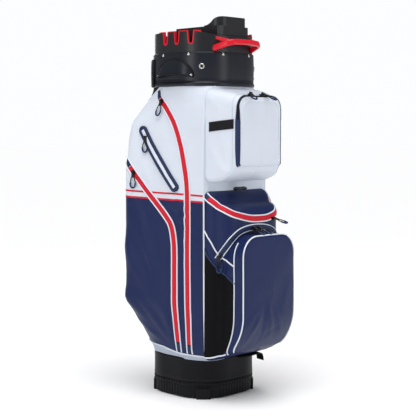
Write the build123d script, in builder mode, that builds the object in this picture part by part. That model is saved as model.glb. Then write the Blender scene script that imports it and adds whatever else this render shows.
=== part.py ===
from build123d import *

import os
from math import atan2, cos, degrees, pi, radians, sin, sqrt, tan

# A free-standing cart bag. +Z is up, the pockets face -Y, and the origin is the centre of the
# base on the surface that the bag stands on. All sizes are in millimetres.

# Tube: the stiffened fabric body that the clubs stand in
TUBE_HALF = 106
TUBE_CORNER = 80
TUBE_WALL = 4

# Base
FOOT_LIFT = 2
FOOT_RING_TOP = 30
FLANGE_TOP = 38
FLANGE_PROUD = 2.5
CUP_FLOOR = 6
CUP_WALL = 3
CUP_SLEEVE_TOP = 88
BAND_TOP = 95
BAND_THICKNESS = 2
FOOT_LENGTH = 34
FOOT_DEPTH = 10
FOOT_HEIGHT = 24
FOOT_PROUD = 4
CENTRE_PAD_RADIUS = 32

# Collar and top frame: each level is set from the one below it
COLLAR_BOTTOM = 733
COLLAR_PROUD = 6
COLLAR_WALL = 3
COLLAR_HALF = TUBE_HALF + COLLAR_PROUD
COLLAR_CORNER = TUBE_CORNER + COLLAR_PROUD + 2
COLLAR_TOP = COLLAR_BOTTOM + 79
RIM_WALL = 3.8
RIM_TOP = COLLAR_TOP + 49
RIM_FRONT_DROP = 12
RIM_DROP_START = -(TUBE_HALF - 36)
GRID_TOP = RIM_TOP - 8
BOX_TOP = RIM_TOP + 14
TOWER_TOP = BOX_TOP + 22
TOWER_WALL = 4
TOWER_CORNER = 25

# Club wells: a central block of wells, ringed by side and back compartments
BOX_HALF = 50
BOX_FRONT = -(TUBE_HALF - 4)
BOX_BACK = 45
FRONT_ROW_BACK = -52
MIDDLE_ROW_BACK = -4
SIDE_SPLITS = (-40, 0)
BACK_SPLIT = 21
GRID_WALL = 4
DIVIDER_THICKNESS = 3
DIVIDER_GAP = 0.05
SPINE_THICKNESS = 2.5
SPINE_HALF = 24
ROD_RADIUS = 4
SEAT_GAP = 0.3

# Shaft slots in the rim and their soft liners
SLOT_ANGLES = {"left": (170, 190, 210), "back": (70, 90, 110), "right": (-30, -10, 10)}
SLOT_MARGIN = 12
SLOT_TOP_WIDTH = 19
SLOT_BOTTOM_WIDTH = 14
SLOT_BOTTOM = RIM_TOP - 31
LINER_THICKNESS = 3
LINER_BOTTOM = SLOT_BOTTOM - 12
LINER_PROUD = 2

# Collar fittings
RIVET_ANGLES = (12, 50, 90, 130, 168, 208, 248, 292, 332)
RIVET_HEIGHT = COLLAR_TOP - 5.5
RIVET_RADIUS = 3.6
RIVET_THICKNESS = 1.4
GRIP_RIVET_INSET = 6
EYELET_ANGLES = (223, 317)
EYELET_HEIGHT = COLLAR_BOTTOM + 45
EYELET_RADIUS = 7
EYELET_BORE = 3.5
GRIP_CENTRE = -13
GRIP_HALF = 55
GRIP_BOTTOM = COLLAR_BOTTOM + 21
GRIP_TOP = COLLAR_BOTTOM + 63
GRIP_REACH = 12
GRIP_WALL = 3.5
GRIP_SHOULDER = GRIP_BOTTOM + 4
GRIP_RIVET_HEIGHT = GRIP_BOTTOM + 5
YOKE_THICKNESS = 5
YOKE_FRONT = 62

# Lift handle
HANDLE_ROOT_X = 62
HANDLE_ROOT_Y = -(TUBE_HALF - 5)
HANDLE_ROOT_Z = COLLAR_TOP + 10
HANDLE_BRIDGE_HALF = 50
HANDLE_BRIDGE_Y = HANDLE_ROOT_Y - 39
HANDLE_RISE = 11
HANDLE_THICKNESS = 9
HANDLE_HEIGHT = 15
HANDLE_BEND = 14
BRANCH_X = 54
BRANCH_HEIGHT = 6
BRANCH_THICKNESS = 6
BRANCH_TOP = HANDLE_ROOT_Z + 25

# Pockets: padded fabric shells on the front plane and on both sides of the tube.
# A front pocket's outline is its half width, lowest and highest levels and corner radius.
PAD = 3.5
FRONT_PLANE = -(TUBE_HALF + 1)
BACK_PLANE = TUBE_HALF + 5
SKIRT_BOTTOM = BAND_TOP + 2
COOLER_TOP = COLLAR_BOTTOM - 247
COOLER_DEPTH = 64
COOLER_BACK = (TUBE_HALF - 8, SKIRT_BOTTOM, COOLER_TOP, 12)
COOLER_FRONT = (88, SKIRT_BOTTOM + 25, COOLER_TOP - 59, 12)
BALL_DEPTH = 45
BALL_BACK = (COOLER_FRONT[0], COOLER_FRONT[1] + 2, COOLER_FRONT[2] - 29, 50)
BALL_FRONT = (COOLER_FRONT[0] - 3, COOLER_FRONT[1] + 28, COOLER_FRONT[2] - 39, 45)
UPPER_DEPTH = 81
UPPER_BACK = (TUBE_HALF - 7, COOLER_TOP + 26, COLLAR_BOTTOM - 8, 26)
UPPER_FRONT = (73, COOLER_TOP + 62, COLLAR_BOTTOM - 27, 26)
ZIP_WIDTH = 12
ZIP_THICKNESS = 1.2

# Plan of the left side pocket at each height: front seam corner, shoulder, back corner, its radius
SIDE_INNER_X = 24
SHOULDER_Y = -63
SIDE_PANEL_SEAMS = (SHOULDER_Y, 30, 85)
SEAM_X = -(TUBE_HALF - 4)
SIDE_SECTIONS = (
    (
        SKIRT_BOTTOM + 4, (SEAM_X + 16, FRONT_PLANE + 3), (-TUBE_HALF - 1, SHOULDER_Y),
        (-TUBE_HALF - 2, BACK_PLANE - 3), TUBE_CORNER - 2,
    ),
    (223, (SEAM_X, FRONT_PLANE), (SEAM_X - 13, SHOULDER_Y), (SEAM_X - 64.5, BACK_PLANE), 22),
    (
        COLLAR_BOTTOM - 200, (SEAM_X, FRONT_PLANE), (SEAM_X - 13, SHOULDER_Y),
        (SEAM_X - 64.5, BACK_PLANE), 22,
    ),
    (
        COLLAR_BOTTOM - 93, (SEAM_X + 2, FRONT_PLANE), (SEAM_X - 9, SHOULDER_Y),
        (SEAM_X - 45, BACK_PLANE), 32,
    ),
    (
        COLLAR_BOTTOM - 51, (SEAM_X + 6, FRONT_PLANE), (SEAM_X - 7.5, SHOULDER_Y),
        (SEAM_X - 25, BACK_PLANE), 54,
    ),
    (
        COLLAR_BOTTOM - 19, (SEAM_X + 18, FRONT_PLANE + 9), (SEAM_X - 3, SHOULDER_Y),
        (-TUBE_HALF - 4, BACK_PLANE - 1), TUBE_CORNER - 4,
    ),
)

# Zip runs on the left side pocket, as seen from the side: y and height
FRONT_ZIP_RUN = (
    (33, COLLAR_BOTTOM - 29), (4, COLLAR_BOTTOM - 54), (-24, COLLAR_BOTTOM - 90),
    (-42, COLLAR_BOTTOM - 136), (-54, COLLAR_BOTTOM - 184), (-61, COLLAR_BOTTOM - 228),
    (-63, COLLAR_BOTTOM - 283), (-63, 120),
)
REAR_ZIP_RUN = (
    (88, COLLAR_BOTTOM - 193), (-8, COLLAR_BOTTOM - 306), (-22, COLLAR_BOTTOM - 330),
    (-28, COLLAR_BOTTOM - 361), (-30, COLLAR_BOTTOM - 398), (-30, 150),
)
DIAGONAL_RUN = ((62, COLLAR_BOTTOM - 106), (-31, COLLAR_BOTTOM - 238))
DIAGONAL_WIDTH = 24
DIAGONAL_END = 10
DIAGONAL_PROUD = 4.2
DIAGONAL_REST = 18
BACK_PANEL_HALF = 24

# Zip bands on the front pockets, trims and webbing
UPPER_ZIP_Y = FRONT_PLANE - UPPER_DEPTH + 8
UPPER_ZIP_END = UPPER_FRONT[1] + 4
COOLER_ZIP_DROP = 8
ARCH_ZIP_Y = FRONT_PLANE - COOLER_DEPTH - 8
ARCH_ZIP_END = BALL_BACK[2] - 53
ARCH_TAIL_LENGTH = 33
ARCH_TAIL_RISE = 40
ARCH_TAIL_TOP = BALL_BACK[2] - 30
MESH_THICKNESS = 2
MESH_BOTTOM = 20
MESH_TOP_REAR = COOLER_TOP - 134
MESH_TOP_FRONT = COOLER_TOP - 201
PATCH_MARGIN = 2
PATCH_REAR = -11
PATCH_HEIGHTS = (COLLAR_BOTTOM - 102, COLLAR_BOTTOM - 81)
PATCH_THICKNESS = 1
STRAP_THICKNESS = 2
STRAP_LOW_X = -15
STRAP_HIGH_X = 66
STRAP_SPAN = (-23, -5)
STRAP_TAB = 20

# Sliders and their pull cords. A slider rests at a distance along its straight run, at an x on
# a front pocket, or at a share of the arch zip's tail; a front pull also leans sideways.
SLIDER_LENGTH = 13
SLIDER_WIDTH = 9
SLIDER_HEIGHT = 3
RUN_GAP = 0.3
TWIST_GAP = 0.5
FRONT_REST = 12
REAR_REST = 16
UPPER_PULLS = (("upper_left", -28, -0.45), ("upper_right", 12, 0.45))
COOLER_PULL_X = 60
BALL_PULLS = (("ball_left", -14, -0.12), ("ball_right", 2, 0.12))
BALL_SIDE_REST = 0.7
BAIL_LENGTH = 4
BAIL_WIDTH = 7
BAIL_HEIGHT = 4
BAIL_LIFT = 0.8
CORD_DIAMETER = 2.4
# The loop in its own plane, from the bail and back to it: along the hang, then across it
CORD_ROUTE = (
    (2, 2.1), (8.5, 2.1), (18.5, 6.6), (28.5, 7.2), (36.5, 4.2),
    (37, -4), (29.5, -7.4), (19.5, -6.4), (9, -2.1), (2, -2.1),
)


def finish(piece, name):
    """Labels a finished piece and writes it to its own file."""
    piece.part.label = name
    export_step(piece.part, f"parts/{name}.step")


def bend_radii(points):
    """The arc radius at each inner point of a route, as large as its two runs allow."""
    radii = []
    for before, corner, after in zip(points, points[1:], points[2:]):
        shorter = min((corner - before).length, (after - corner).length)
        half_turn = (corner - before).get_angle(after - corner) / 2
        radii.append(0.45 * shorter / tan(radians(half_turn)))
    return radii


def square_prism(half, corner, bottom, top):
    """An upright prism of rounded-square section about the bag's axis."""
    with BuildPart() as prism:
        with BuildSketch(Plane.XY.offset(bottom)):
            RectangleRounded(2 * half, 2 * half, corner)
        extrude(amount=top - bottom)
    return prism.part


def square_tube(half, corner, wall, bottom, top):
    """A rounded-square tube; half and corner are its outside."""
    with BuildPart() as tube:
        add(square_prism(half, corner, bottom, top))
        add(square_prism(half - wall, corner - wall, bottom, top), mode=Mode.SUBTRACT)
    return tube.part


def on_outline(half, corner, angle):
    """Where a ray from the axis crosses a rounded square, and the outward direction there."""
    ray = Vector(cos(radians(angle)), sin(radians(angle)))
    flat = half - corner
    point = ray * (half / max(abs(ray.X), abs(ray.Y)))
    if min(abs(point.X), abs(point.Y)) <= flat:
        outward = Vector(round(ray.X), 0) if abs(ray.X) > abs(ray.Y) else Vector(0, round(ray.Y))
        return point, outward
    centre = Vector(flat if ray.X > 0 else -flat, flat if ray.Y > 0 else -flat)
    along = centre.dot(ray)
    point = ray * (along + sqrt(along**2 - centre.dot(centre) + corner**2))
    return point, (point - centre).normalized()


def side_angle(half, corner, y):
    """The angle about the axis of the point at this y on the left side of a rounded square."""
    flat = half - corner
    beyond = max(abs(y) - flat, 0)
    return degrees(atan2(y, -flat - sqrt(corner**2 - beyond**2)))


def slot_cutter(angle, shrink):
    """A radial U-shaped cutter for one shaft slot; shrink narrows it for the liner."""
    ray = Vector(cos(radians(angle)), sin(radians(angle)))
    outside = Plane(origin=ray * (COLLAR_HALF / 2), x_dir=Vector(-ray.Y, ray.X), z_dir=ray)
    top = RIM_TOP + 20
    bottom_radius = SLOT_BOTTOM_WIDTH / 2 - shrink
    top_half = SLOT_TOP_WIDTH / 2 - shrink
    low = SLOT_BOTTOM + SLOT_BOTTOM_WIDTH / 2
    with BuildPart() as cutter:
        with BuildSketch(outside):
            with BuildLine():
                Polyline(
                    (-bottom_radius, low), (-top_half, RIM_TOP), (-top_half, top),
                    (top_half, top), (top_half, RIM_TOP), (bottom_radius, low),
                )
                ThreePointArc((bottom_radius, low), (0, low - bottom_radius), (-bottom_radius, low))
            make_face()
        extrude(amount=COLLAR_HALF)
    return cutter.part


# ---------------------------------------------------------------- base

with BuildPart() as base_feet:
    foot_reach = (TUBE_HALF - TUBE_CORNER) * sqrt(2) + TUBE_CORNER + FOOT_PROUD
    with BuildSketch():
        with PolarLocations(foot_reach - FOOT_DEPTH / 2, 4, start_angle=45):
            RectangleRounded(FOOT_DEPTH, FOOT_LENGTH, 4)
    extrude(amount=FOOT_HEIGHT)
    with BuildSketch():
        Circle(CENTRE_PAD_RADIUS)
    extrude(amount=FOOT_LIFT)
finish(base_feet, "base_feet")

with BuildPart() as base_cup:
    add(square_prism(TUBE_HALF, TUBE_CORNER, FOOT_LIFT, FOOT_RING_TOP))
    add(square_prism(
        TUBE_HALF + FLANGE_PROUD, TUBE_CORNER + FLANGE_PROUD, FOOT_RING_TOP, FLANGE_TOP,
    ))
    sleeve_half = TUBE_HALF - TUBE_WALL
    sleeve_corner = TUBE_CORNER - TUBE_WALL
    add(square_prism(sleeve_half, sleeve_corner, FLANGE_TOP, CUP_SLEEVE_TOP))
    add(
        square_prism(sleeve_half - CUP_WALL, sleeve_corner - CUP_WALL, FOOT_LIFT, CUP_SLEEVE_TOP),
        mode=Mode.SUBTRACT,
    )
    add(base_feet.part, mode=Mode.SUBTRACT)
finish(base_cup, "base_cup")

with BuildPart() as base_floor:
    add(square_prism(
        sleeve_half - CUP_WALL, sleeve_corner - CUP_WALL, FOOT_LIFT, FOOT_LIFT + CUP_FLOOR,
    ))
finish(base_floor, "base_floor")

with BuildPart() as base_band:
    add(square_tube(
        TUBE_HALF + BAND_THICKNESS, TUBE_CORNER + BAND_THICKNESS, BAND_THICKNESS,
        FLANGE_TOP, BAND_TOP,
    ))
finish(base_band, "base_band")

# ---------------------------------------------------------------- tube and dividers

with BuildPart() as body_tube:
    add(square_tube(TUBE_HALF, TUBE_CORNER, TUBE_WALL, FLANGE_TOP, COLLAR_BOTTOM))
finish(body_tube, "body_tube")

INNER_HALF = TUBE_HALF - TUBE_WALL - CUP_WALL
INNER_CORNER = TUBE_CORNER - TUBE_WALL - CUP_WALL
DIVIDER_BOTTOM = FOOT_LIFT + CUP_FLOOR
SPINE_Y = INNER_HALF - SPINE_THICKNESS

with BuildPart() as spine_board:
    with Locations((0, SPINE_Y + SPINE_THICKNESS / 2, DIVIDER_BOTTOM)):
        Box(
            2 * SPINE_HALF, SPINE_THICKNESS, COLLAR_BOTTOM - DIVIDER_BOTTOM,
            align=(Align.CENTER, Align.CENTER, Align.MIN),
        )
finish(spine_board, "spine_board")

with BuildPart() as stay_rods:
    rod_offset = (INNER_HALF - INNER_CORNER) + (INNER_CORNER - ROD_RADIUS - SEAT_GAP) / sqrt(2)
    with Locations((0, 0, DIVIDER_BOTTOM)):
        with GridLocations(2 * rod_offset, 2 * rod_offset, 2, 2):
            Cylinder(
                ROD_RADIUS, COLLAR_BOTTOM - DIVIDER_BOTTOM,
                align=(Align.CENTER, Align.CENTER, Align.MIN),
            )
finish(stay_rods, "stay_rods")

def upright_plates(boxes):
    """Divider plates, each (low x, high x, low y, high y), trimmed to the inside of the base cup."""
    with BuildPart() as plates:
        with BuildSketch(Plane.XY.offset(DIVIDER_BOTTOM)):
            for low_x, high_x, low_y, high_y in boxes:
                with Locations(((low_x + high_x) / 2, (low_y + high_y) / 2)):
                    Rectangle(high_x - low_x, high_y - low_y)
            RectangleRounded(2 * INNER_HALF, 2 * INNER_HALF, INNER_CORNER, mode=Mode.INTERSECT)
        extrude(amount=COLLAR_BOTTOM - DIVIDER_BOTTOM)
    return plates.part


half_plate = DIVIDER_THICKNESS / 2
box_inside = BOX_HALF - half_plate - DIVIDER_GAP
box_outside = BOX_HALF + half_plate + DIVIDER_GAP
box_back = BOX_BACK - half_plate - DIVIDER_GAP
split_gap = half_plate + DIVIDER_GAP

with BuildPart() as centre_dividers:
    add(upright_plates((
        (-BOX_HALF - half_plate, -BOX_HALF + half_plate, -INNER_HALF, box_back),
        (BOX_HALF - half_plate, BOX_HALF + half_plate, -INNER_HALF, box_back),
        (-INNER_HALF, INNER_HALF, BOX_BACK - half_plate, BOX_BACK + half_plate),
        (-box_inside, box_inside, FRONT_ROW_BACK - half_plate, FRONT_ROW_BACK + half_plate),
        (-box_inside, box_inside, MIDDLE_ROW_BACK - half_plate, MIDDLE_ROW_BACK + half_plate),
        (-half_plate, half_plate, FRONT_ROW_BACK + split_gap, MIDDLE_ROW_BACK - split_gap),
        (-half_plate, half_plate, MIDDLE_ROW_BACK + split_gap, box_back),
    )))
finish(centre_dividers, "centre_dividers")

with BuildPart() as outer_dividers:
    side_plates = tuple(
        (low_x, high_x, split - half_plate, split + half_plate)
        for split in SIDE_SPLITS
        for low_x, high_x in ((-INNER_HALF, -box_outside), (box_outside, INNER_HALF))
    )
    back_plates = tuple(
        (x - half_plate, x + half_plate, BOX_BACK + split_gap, SPINE_Y - DIVIDER_GAP)
        for x in (-BACK_SPLIT, BACK_SPLIT)
    )
    add(upright_plates(side_plates + back_plates))
finish(outer_dividers, "outer_dividers")

# ---------------------------------------------------------------- top frame

RIM_HALF = COLLAR_HALF - COLLAR_WALL
RIM_CORNER = COLLAR_CORNER - COLLAR_WALL
WELL_HALF = RIM_HALF - RIM_WALL
WELL_CORNER = RIM_CORNER - RIM_WALL

with BuildPart() as rim_ring:
    add(square_tube(RIM_HALF, RIM_CORNER, RIM_WALL, COLLAR_BOTTOM, RIM_TOP))
    with BuildSketch(Plane.YZ):
        with BuildLine():
            Polyline(
                (RIM_DROP_START, RIM_TOP), (-RIM_HALF - 5, RIM_TOP - RIM_FRONT_DROP),
                (-RIM_HALF - 5, RIM_TOP + 5), (RIM_DROP_START, RIM_TOP + 5), close=True,
            )
        make_face()
    extrude(amount=COLLAR_HALF, both=True, mode=Mode.SUBTRACT)
    for angles in SLOT_ANGLES.values():
        for angle in angles:
            add(slot_cutter(angle, 0), mode=Mode.SUBTRACT)
finish(rim_ring, "rim_ring")

def well_rectangles(gap):
    """Centre and size of each well's mouth, gap in from the walls' middles."""
    rows = ((BOX_FRONT, FRONT_ROW_BACK), (FRONT_ROW_BACK, MIDDLE_ROW_BACK), (MIDDLE_ROW_BACK, BOX_BACK))
    wells = [((-BOX_HALF, BOX_HALF), rows[0])]
    wells += [(span, row) for row in rows[1:] for span in ((-BOX_HALF, 0), (0, BOX_HALF))]
    splits = (-COLLAR_HALF,) + SIDE_SPLITS + (BOX_BACK,)
    for low_y, high_y in zip(splits, splits[1:]):
        wells += [((-COLLAR_HALF, -BOX_HALF), (low_y, high_y)), ((BOX_HALF, COLLAR_HALF), (low_y, high_y))]
    splits = (-COLLAR_HALF, -BACK_SPLIT, BACK_SPLIT, COLLAR_HALF)
    wells += [((low_x, high_x), (BOX_BACK, COLLAR_HALF)) for low_x, high_x in zip(splits, splits[1:])]
    return [
        (((a + b) / 2, (c + d) / 2), (b - a - 2 * gap, d - c - 2 * gap)) for (a, b), (c, d) in wells
    ]


with BuildPart() as club_grid:
    add(square_prism(WELL_HALF, WELL_CORNER, COLLAR_BOTTOM, GRID_TOP))
    with BuildSketch(Plane.XY.offset(GRID_TOP)):
        with Locations((0, (BOX_FRONT + BOX_BACK) / 2)):
            RectangleRounded(2 * BOX_HALF + GRID_WALL, BOX_BACK - BOX_FRONT + GRID_WALL, 8)
        RectangleRounded(2 * WELL_HALF, 2 * WELL_HALF, WELL_CORNER, mode=Mode.INTERSECT)
    extrude(amount=BOX_TOP - GRID_TOP)
    with BuildSketch(Plane.XY.offset(COLLAR_BOTTOM)):
        for centre, size in well_rectangles(GRID_WALL / 2):
            with Locations(centre):
                RectangleRounded(*size, 7)
    extrude(amount=BOX_TOP - COLLAR_BOTTOM, mode=Mode.SUBTRACT)
    add(
        square_tube(WELL_HALF, WELL_CORNER, LINER_THICKNESS, LINER_BOTTOM, GRID_TOP),
        mode=Mode.SUBTRACT,
    )
finish(club_grid, "club_grid")

with BuildPart() as wood_tower:
    tower_back = FRONT_ROW_BACK - GRID_WALL / 2
    tower_front = BOX_FRONT - GRID_WALL / 2
    tower_half = BOX_HALF + GRID_WALL / 2
    with BuildSketch(Plane.XY.offset(BOX_TOP)):
        with Locations((0, tower_back)):
            RectangleRounded(2 * tower_half, 2 * (tower_back - tower_front), TOWER_CORNER)
            RectangleRounded(
                2 * (tower_half - TOWER_WALL), 2 * (tower_back - tower_front - TOWER_WALL),
                TOWER_CORNER - TOWER_WALL, mode=Mode.SUBTRACT,
            )
            Rectangle(
                2 * tower_half, tower_back - tower_front,
                align=(Align.CENTER, Align.MIN), mode=Mode.SUBTRACT,
            )
    extrude(amount=TOWER_TOP - BOX_TOP)
    with BuildSketch(Plane.YZ.offset(-tower_half)):
        with BuildLine():
            sweep_low = (tower_back, BOX_TOP + TOWER_WALL / 2)
            sweep_mid = ((tower_back + tower_front) / 2, (BOX_TOP + TOWER_TOP) / 2)
            sweep_high = (tower_front, TOWER_TOP)
            TangentArc(sweep_low, sweep_mid, tangent=(-1, 0))
            TangentArc(sweep_high, sweep_mid, tangent=(1, 0))
            Polyline(sweep_high, (tower_front, TOWER_TOP + 5), (tower_back, TOWER_TOP + 5), sweep_low)
        make_face()
    extrude(amount=2 * tower_half, mode=Mode.SUBTRACT)
finish(wood_tower, "wood_tower")

# ---------------------------------------------------------------- slot liners


def slot_liner(angles):
    """One soft liner: a band inside the rim that also lines the slots it passes."""
    start = angles[0] - SLOT_MARGIN
    sweep_angle = angles[-1] - angles[0] + 2 * SLOT_MARGIN
    with BuildPart() as liner:
        add(square_tube(
            RIM_HALF, RIM_CORNER, RIM_WALL + LINER_THICKNESS, LINER_BOTTOM, RIM_TOP + LINER_PROUD,
        ))
        with BuildSketch():
            with BuildLine():
                far = 3 * COLLAR_HALF
                steps = (0, sweep_angle / 2, sweep_angle)
                corners = [(far * cos(radians(start + a)), far * sin(radians(start + a))) for a in steps]
                Polyline((0, 0), *corners, close=True)
            make_face()
        extrude(amount=TOWER_TOP, mode=Mode.INTERSECT)
        add(rim_ring.part, mode=Mode.SUBTRACT)
        for angle in angles:
            add(slot_cutter(angle, LINER_THICKNESS), mode=Mode.SUBTRACT)
    return liner.part


for liner_side, liner_angles in SLOT_ANGLES.items():
    with BuildPart() as slot_liner_piece:
        add(slot_liner(liner_angles))
    finish(slot_liner_piece, f"slot_liner_{liner_side}")

# ---------------------------------------------------------------- collar and its fittings

with BuildPart() as collar_shell:
    add(square_tube(COLLAR_HALF, COLLAR_CORNER, COLLAR_WALL, COLLAR_BOTTOM, COLLAR_TOP))
finish(collar_shell, "collar_shell")

with BuildPart() as collar_rivets:
    grip_angles = [
        side_angle(COLLAR_HALF + GRIP_REACH, COLLAR_CORNER + GRIP_REACH, GRIP_CENTRE + end)
        for end in (GRIP_RIVET_INSET - GRIP_HALF, GRIP_HALF - GRIP_RIVET_INSET)
    ]
    grip_angles += [180 - angle for angle in grip_angles]
    rivet_rows = ((0, RIVET_HEIGHT, RIVET_ANGLES), (GRIP_REACH, GRIP_RIVET_HEIGHT, grip_angles))
    for reach, height, angles in rivet_rows:
        for angle in angles:
            place, outward = on_outline(COLLAR_HALF + reach, COLLAR_CORNER + reach, angle)
            with Locations(Plane(origin=place + Vector(0, 0, height), z_dir=outward)):
                Cylinder(RIVET_RADIUS, RIVET_THICKNESS, align=(Align.CENTER, Align.CENTER, Align.MIN))
finish(collar_rivets, "collar_rivets")

with BuildPart() as collar_eyelets:
    for angle in EYELET_ANGLES:
        place, outward = on_outline(COLLAR_HALF, COLLAR_CORNER, angle)
        with Locations(Plane(origin=place + Vector(0, 0, EYELET_HEIGHT), z_dir=outward)):
            Cylinder(EYELET_RADIUS, RIVET_THICKNESS, align=(Align.CENTER, Align.CENTER, Align.MIN))
            Cylinder(
                EYELET_BORE, RIVET_THICKNESS, align=(Align.CENTER, Align.CENTER, Align.MIN),
                mode=Mode.SUBTRACT,
            )
finish(collar_eyelets, "collar_eyelets")


def half_moon(inset, bottom):
    """A prism of half-moon outline, arched at the top, running out through the left of the collar."""
    half = GRIP_HALF - inset
    top = GRIP_TOP - inset
    with BuildPart() as moon:
        with BuildSketch(Plane(origin=(0, GRIP_CENTRE, 0), x_dir=(0, 1, 0), z_dir=(1, 0, 0))):
            with BuildLine():
                Line((-half, bottom), (half, bottom))
                Line((half, bottom), (half, GRIP_SHOULDER))
                ThreePointArc((half, GRIP_SHOULDER), (0, top), (-half, GRIP_SHOULDER))
                Line((-half, GRIP_SHOULDER), (-half, bottom))
            make_face()
        extrude(amount=-2 * COLLAR_HALF)
    return moon.part


with BuildPart() as side_grip_left:
    add(square_tube(
        COLLAR_HALF + GRIP_REACH, COLLAR_CORNER + GRIP_REACH, GRIP_REACH, GRIP_BOTTOM, GRIP_TOP,
    ))
    add(half_moon(0, GRIP_BOTTOM), mode=Mode.INTERSECT)
    with BuildPart(mode=Mode.PRIVATE) as finger_space:
        add(square_tube(
            COLLAR_HALF + GRIP_REACH - GRIP_WALL, COLLAR_CORNER + GRIP_REACH - GRIP_WALL,
            GRIP_REACH - GRIP_WALL, GRIP_BOTTOM, GRIP_TOP,
        ))
        add(half_moon(GRIP_WALL, GRIP_BOTTOM - 1), mode=Mode.INTERSECT)
    add(finger_space.part, mode=Mode.SUBTRACT)
finish(side_grip_left, "side_grip_left")

with BuildPart() as side_grip_right:
    mirror(side_grip_left.part, about=Plane.YZ)
finish(side_grip_right, "side_grip_right")

# ---------------------------------------------------------------- lift handle

handle_slope = Plane(
    origin=(0, HANDLE_ROOT_Y, HANDLE_ROOT_Z), x_dir=(1, 0, 0),
    z_dir=(0, HANDLE_RISE, HANDLE_ROOT_Y - HANDLE_BRIDGE_Y),
)
handle_run = sqrt(HANDLE_RISE**2 + (HANDLE_ROOT_Y - HANDLE_BRIDGE_Y) ** 2)

with BuildPart() as lift_handle:
    with BuildSketch(handle_slope) as handle_outline:
        with BuildLine() as handle_path:
            FilletPolyline(
                (-HANDLE_ROOT_X, 8), (-HANDLE_BRIDGE_HALF, -handle_run),
                (HANDLE_BRIDGE_HALF, -handle_run), (HANDLE_ROOT_X, 8),
                radius=HANDLE_BEND,
            )
            offset(amount=HANDLE_THICKNESS / 2, side=Side.BOTH)
        make_face()
    extrude(amount=HANDLE_HEIGHT / 2, both=True)
    with BuildSketch(Plane.YZ.offset(-BRANCH_X)):
        with BuildLine():
            Polyline(
                (-96, BRANCH_TOP - BRANCH_HEIGHT), (-96, BRANCH_TOP),
                (HANDLE_BRIDGE_Y + 12, BRANCH_TOP - BRANCH_HEIGHT), (HANDLE_BRIDGE_Y + 12, HANDLE_ROOT_Z),
                close=True,
            )
        make_face()
    extrude(amount=BRANCH_THICKNESS)
    mirror(about=Plane.YZ)
    add(square_prism(RIM_HALF, RIM_CORNER, COLLAR_BOTTOM, TOWER_TOP), mode=Mode.SUBTRACT)
finish(lift_handle, "lift_handle")

# ---------------------------------------------------------------- pockets


def moved_corner(before, corner, after, distance):
    """A corner of a clockwise outline, after both its edges move outwards by a distance."""
    into = (corner - before).normalized()
    out = (after - corner).normalized()
    into_side = Vector(-into.Y, into.X)
    out_side = Vector(-out.Y, out.X)
    return corner + (into_side + out_side) * (distance / (1 + into_side.dot(out_side)))


def side_solid(change):
    """The left side pocket's outer form as a ruled loft, its faces moved outwards by change."""
    faces = []
    inward = max(-change, 0)
    for height, seam, shoulder, corner, radius in SIDE_SECTIONS:
        level = height
        if height == SIDE_SECTIONS[0][0]:
            level += inward
        if height == SIDE_SECTIONS[-1][0]:
            level -= inward
        inner_x = -SIDE_INNER_X + inward
        seam, shoulder, corner = Vector(*seam), Vector(*shoulder), Vector(*corner)
        front_end, back_end = Vector(inner_x, seam.Y), Vector(inner_x, corner.Y)
        moved = (
            front_end + Vector(0, -change), moved_corner(front_end, seam, shoulder, change),
            moved_corner(seam, shoulder, corner, change),
            moved_corner(shoulder, corner, back_end, change), back_end + Vector(0, change),
        )
        with BuildSketch(Plane.XY.offset(level)) as section:
            with BuildLine():
                Polyline(*moved, close=True)
            make_face()
            fillet(section.vertices().sort_by(Axis((0, 0, 0), (-1, 1, 0)))[-1], radius + change)
        faces.append(section.sketch)
    with BuildPart() as form:
        for face in faces:
            add(face)
        loft(ruled=True)
    return form.part


def side_point(y, height):
    """The point on the outside of the left side pocket at this y and height."""
    for lower, upper in zip(SIDE_SECTIONS, SIDE_SECTIONS[1:]):
        if lower[0] <= height <= upper[0]:
            share = (height - lower[0]) / (upper[0] - lower[0])
            near = Vector(*lower[2]) * (1 - share) + Vector(*upper[2]) * share
            far = Vector(*lower[3]) * (1 - share) + Vector(*upper[3]) * share
            along = (y - near.Y) / (far.Y - near.Y)
            return Vector(near.X + (far.X - near.X) * along, y, height)
    raise ValueError("height is outside the side pocket")


def side_outward(y, height):
    """The outward direction of the left side pocket's face at this y and height."""
    across = side_point(y + 1, height) - side_point(y - 1, height)
    upward = side_point(y, height + 1) - side_point(y, height - 1)
    return upward.cross(across).normalized()


def front_solid(back, front, base_y, depth, inset, grow=0):
    """A front pocket's form: a ruled loft between two upright rounded rectangles."""
    with BuildPart() as form:
        change = grow - inset
        for (half, low, high, radius), y in ((back, base_y), (front, base_y - depth - change)):
            with BuildSketch(Plane.XZ.offset(-y)):
                with Locations((0, (low + high) / 2)):
                    RectangleRounded(2 * (half + change), high - low + 2 * change, radius + change)
        loft(ruled=True)
    return form.part


def open_backed(outer, inner, clear_of=None):
    """A padded shell that is open towards the tube."""
    with BuildPart() as shell:
        add(outer)
        add(inner, mode=Mode.SUBTRACT)
        if clear_of:
            add(clear_of, mode=Mode.SUBTRACT)
    return shell.part


core = square_prism(TUBE_HALF, TUBE_CORNER, 0, COLLAR_BOTTOM)

pocket_shell = open_backed(side_solid(0), side_solid(-PAD), core)
for pocket_side, form in (("left", pocket_shell), ("right", mirror(pocket_shell, about=Plane.YZ))):
    with BuildPart() as side_pocket:
        add(form)
        for seam_y in SIDE_PANEL_SEAMS:
            split(bisect_by=Plane.XZ.offset(-seam_y), keep=Keep.BOTH)
    finish(side_pocket, f"side_pocket_{pocket_side}")

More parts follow.
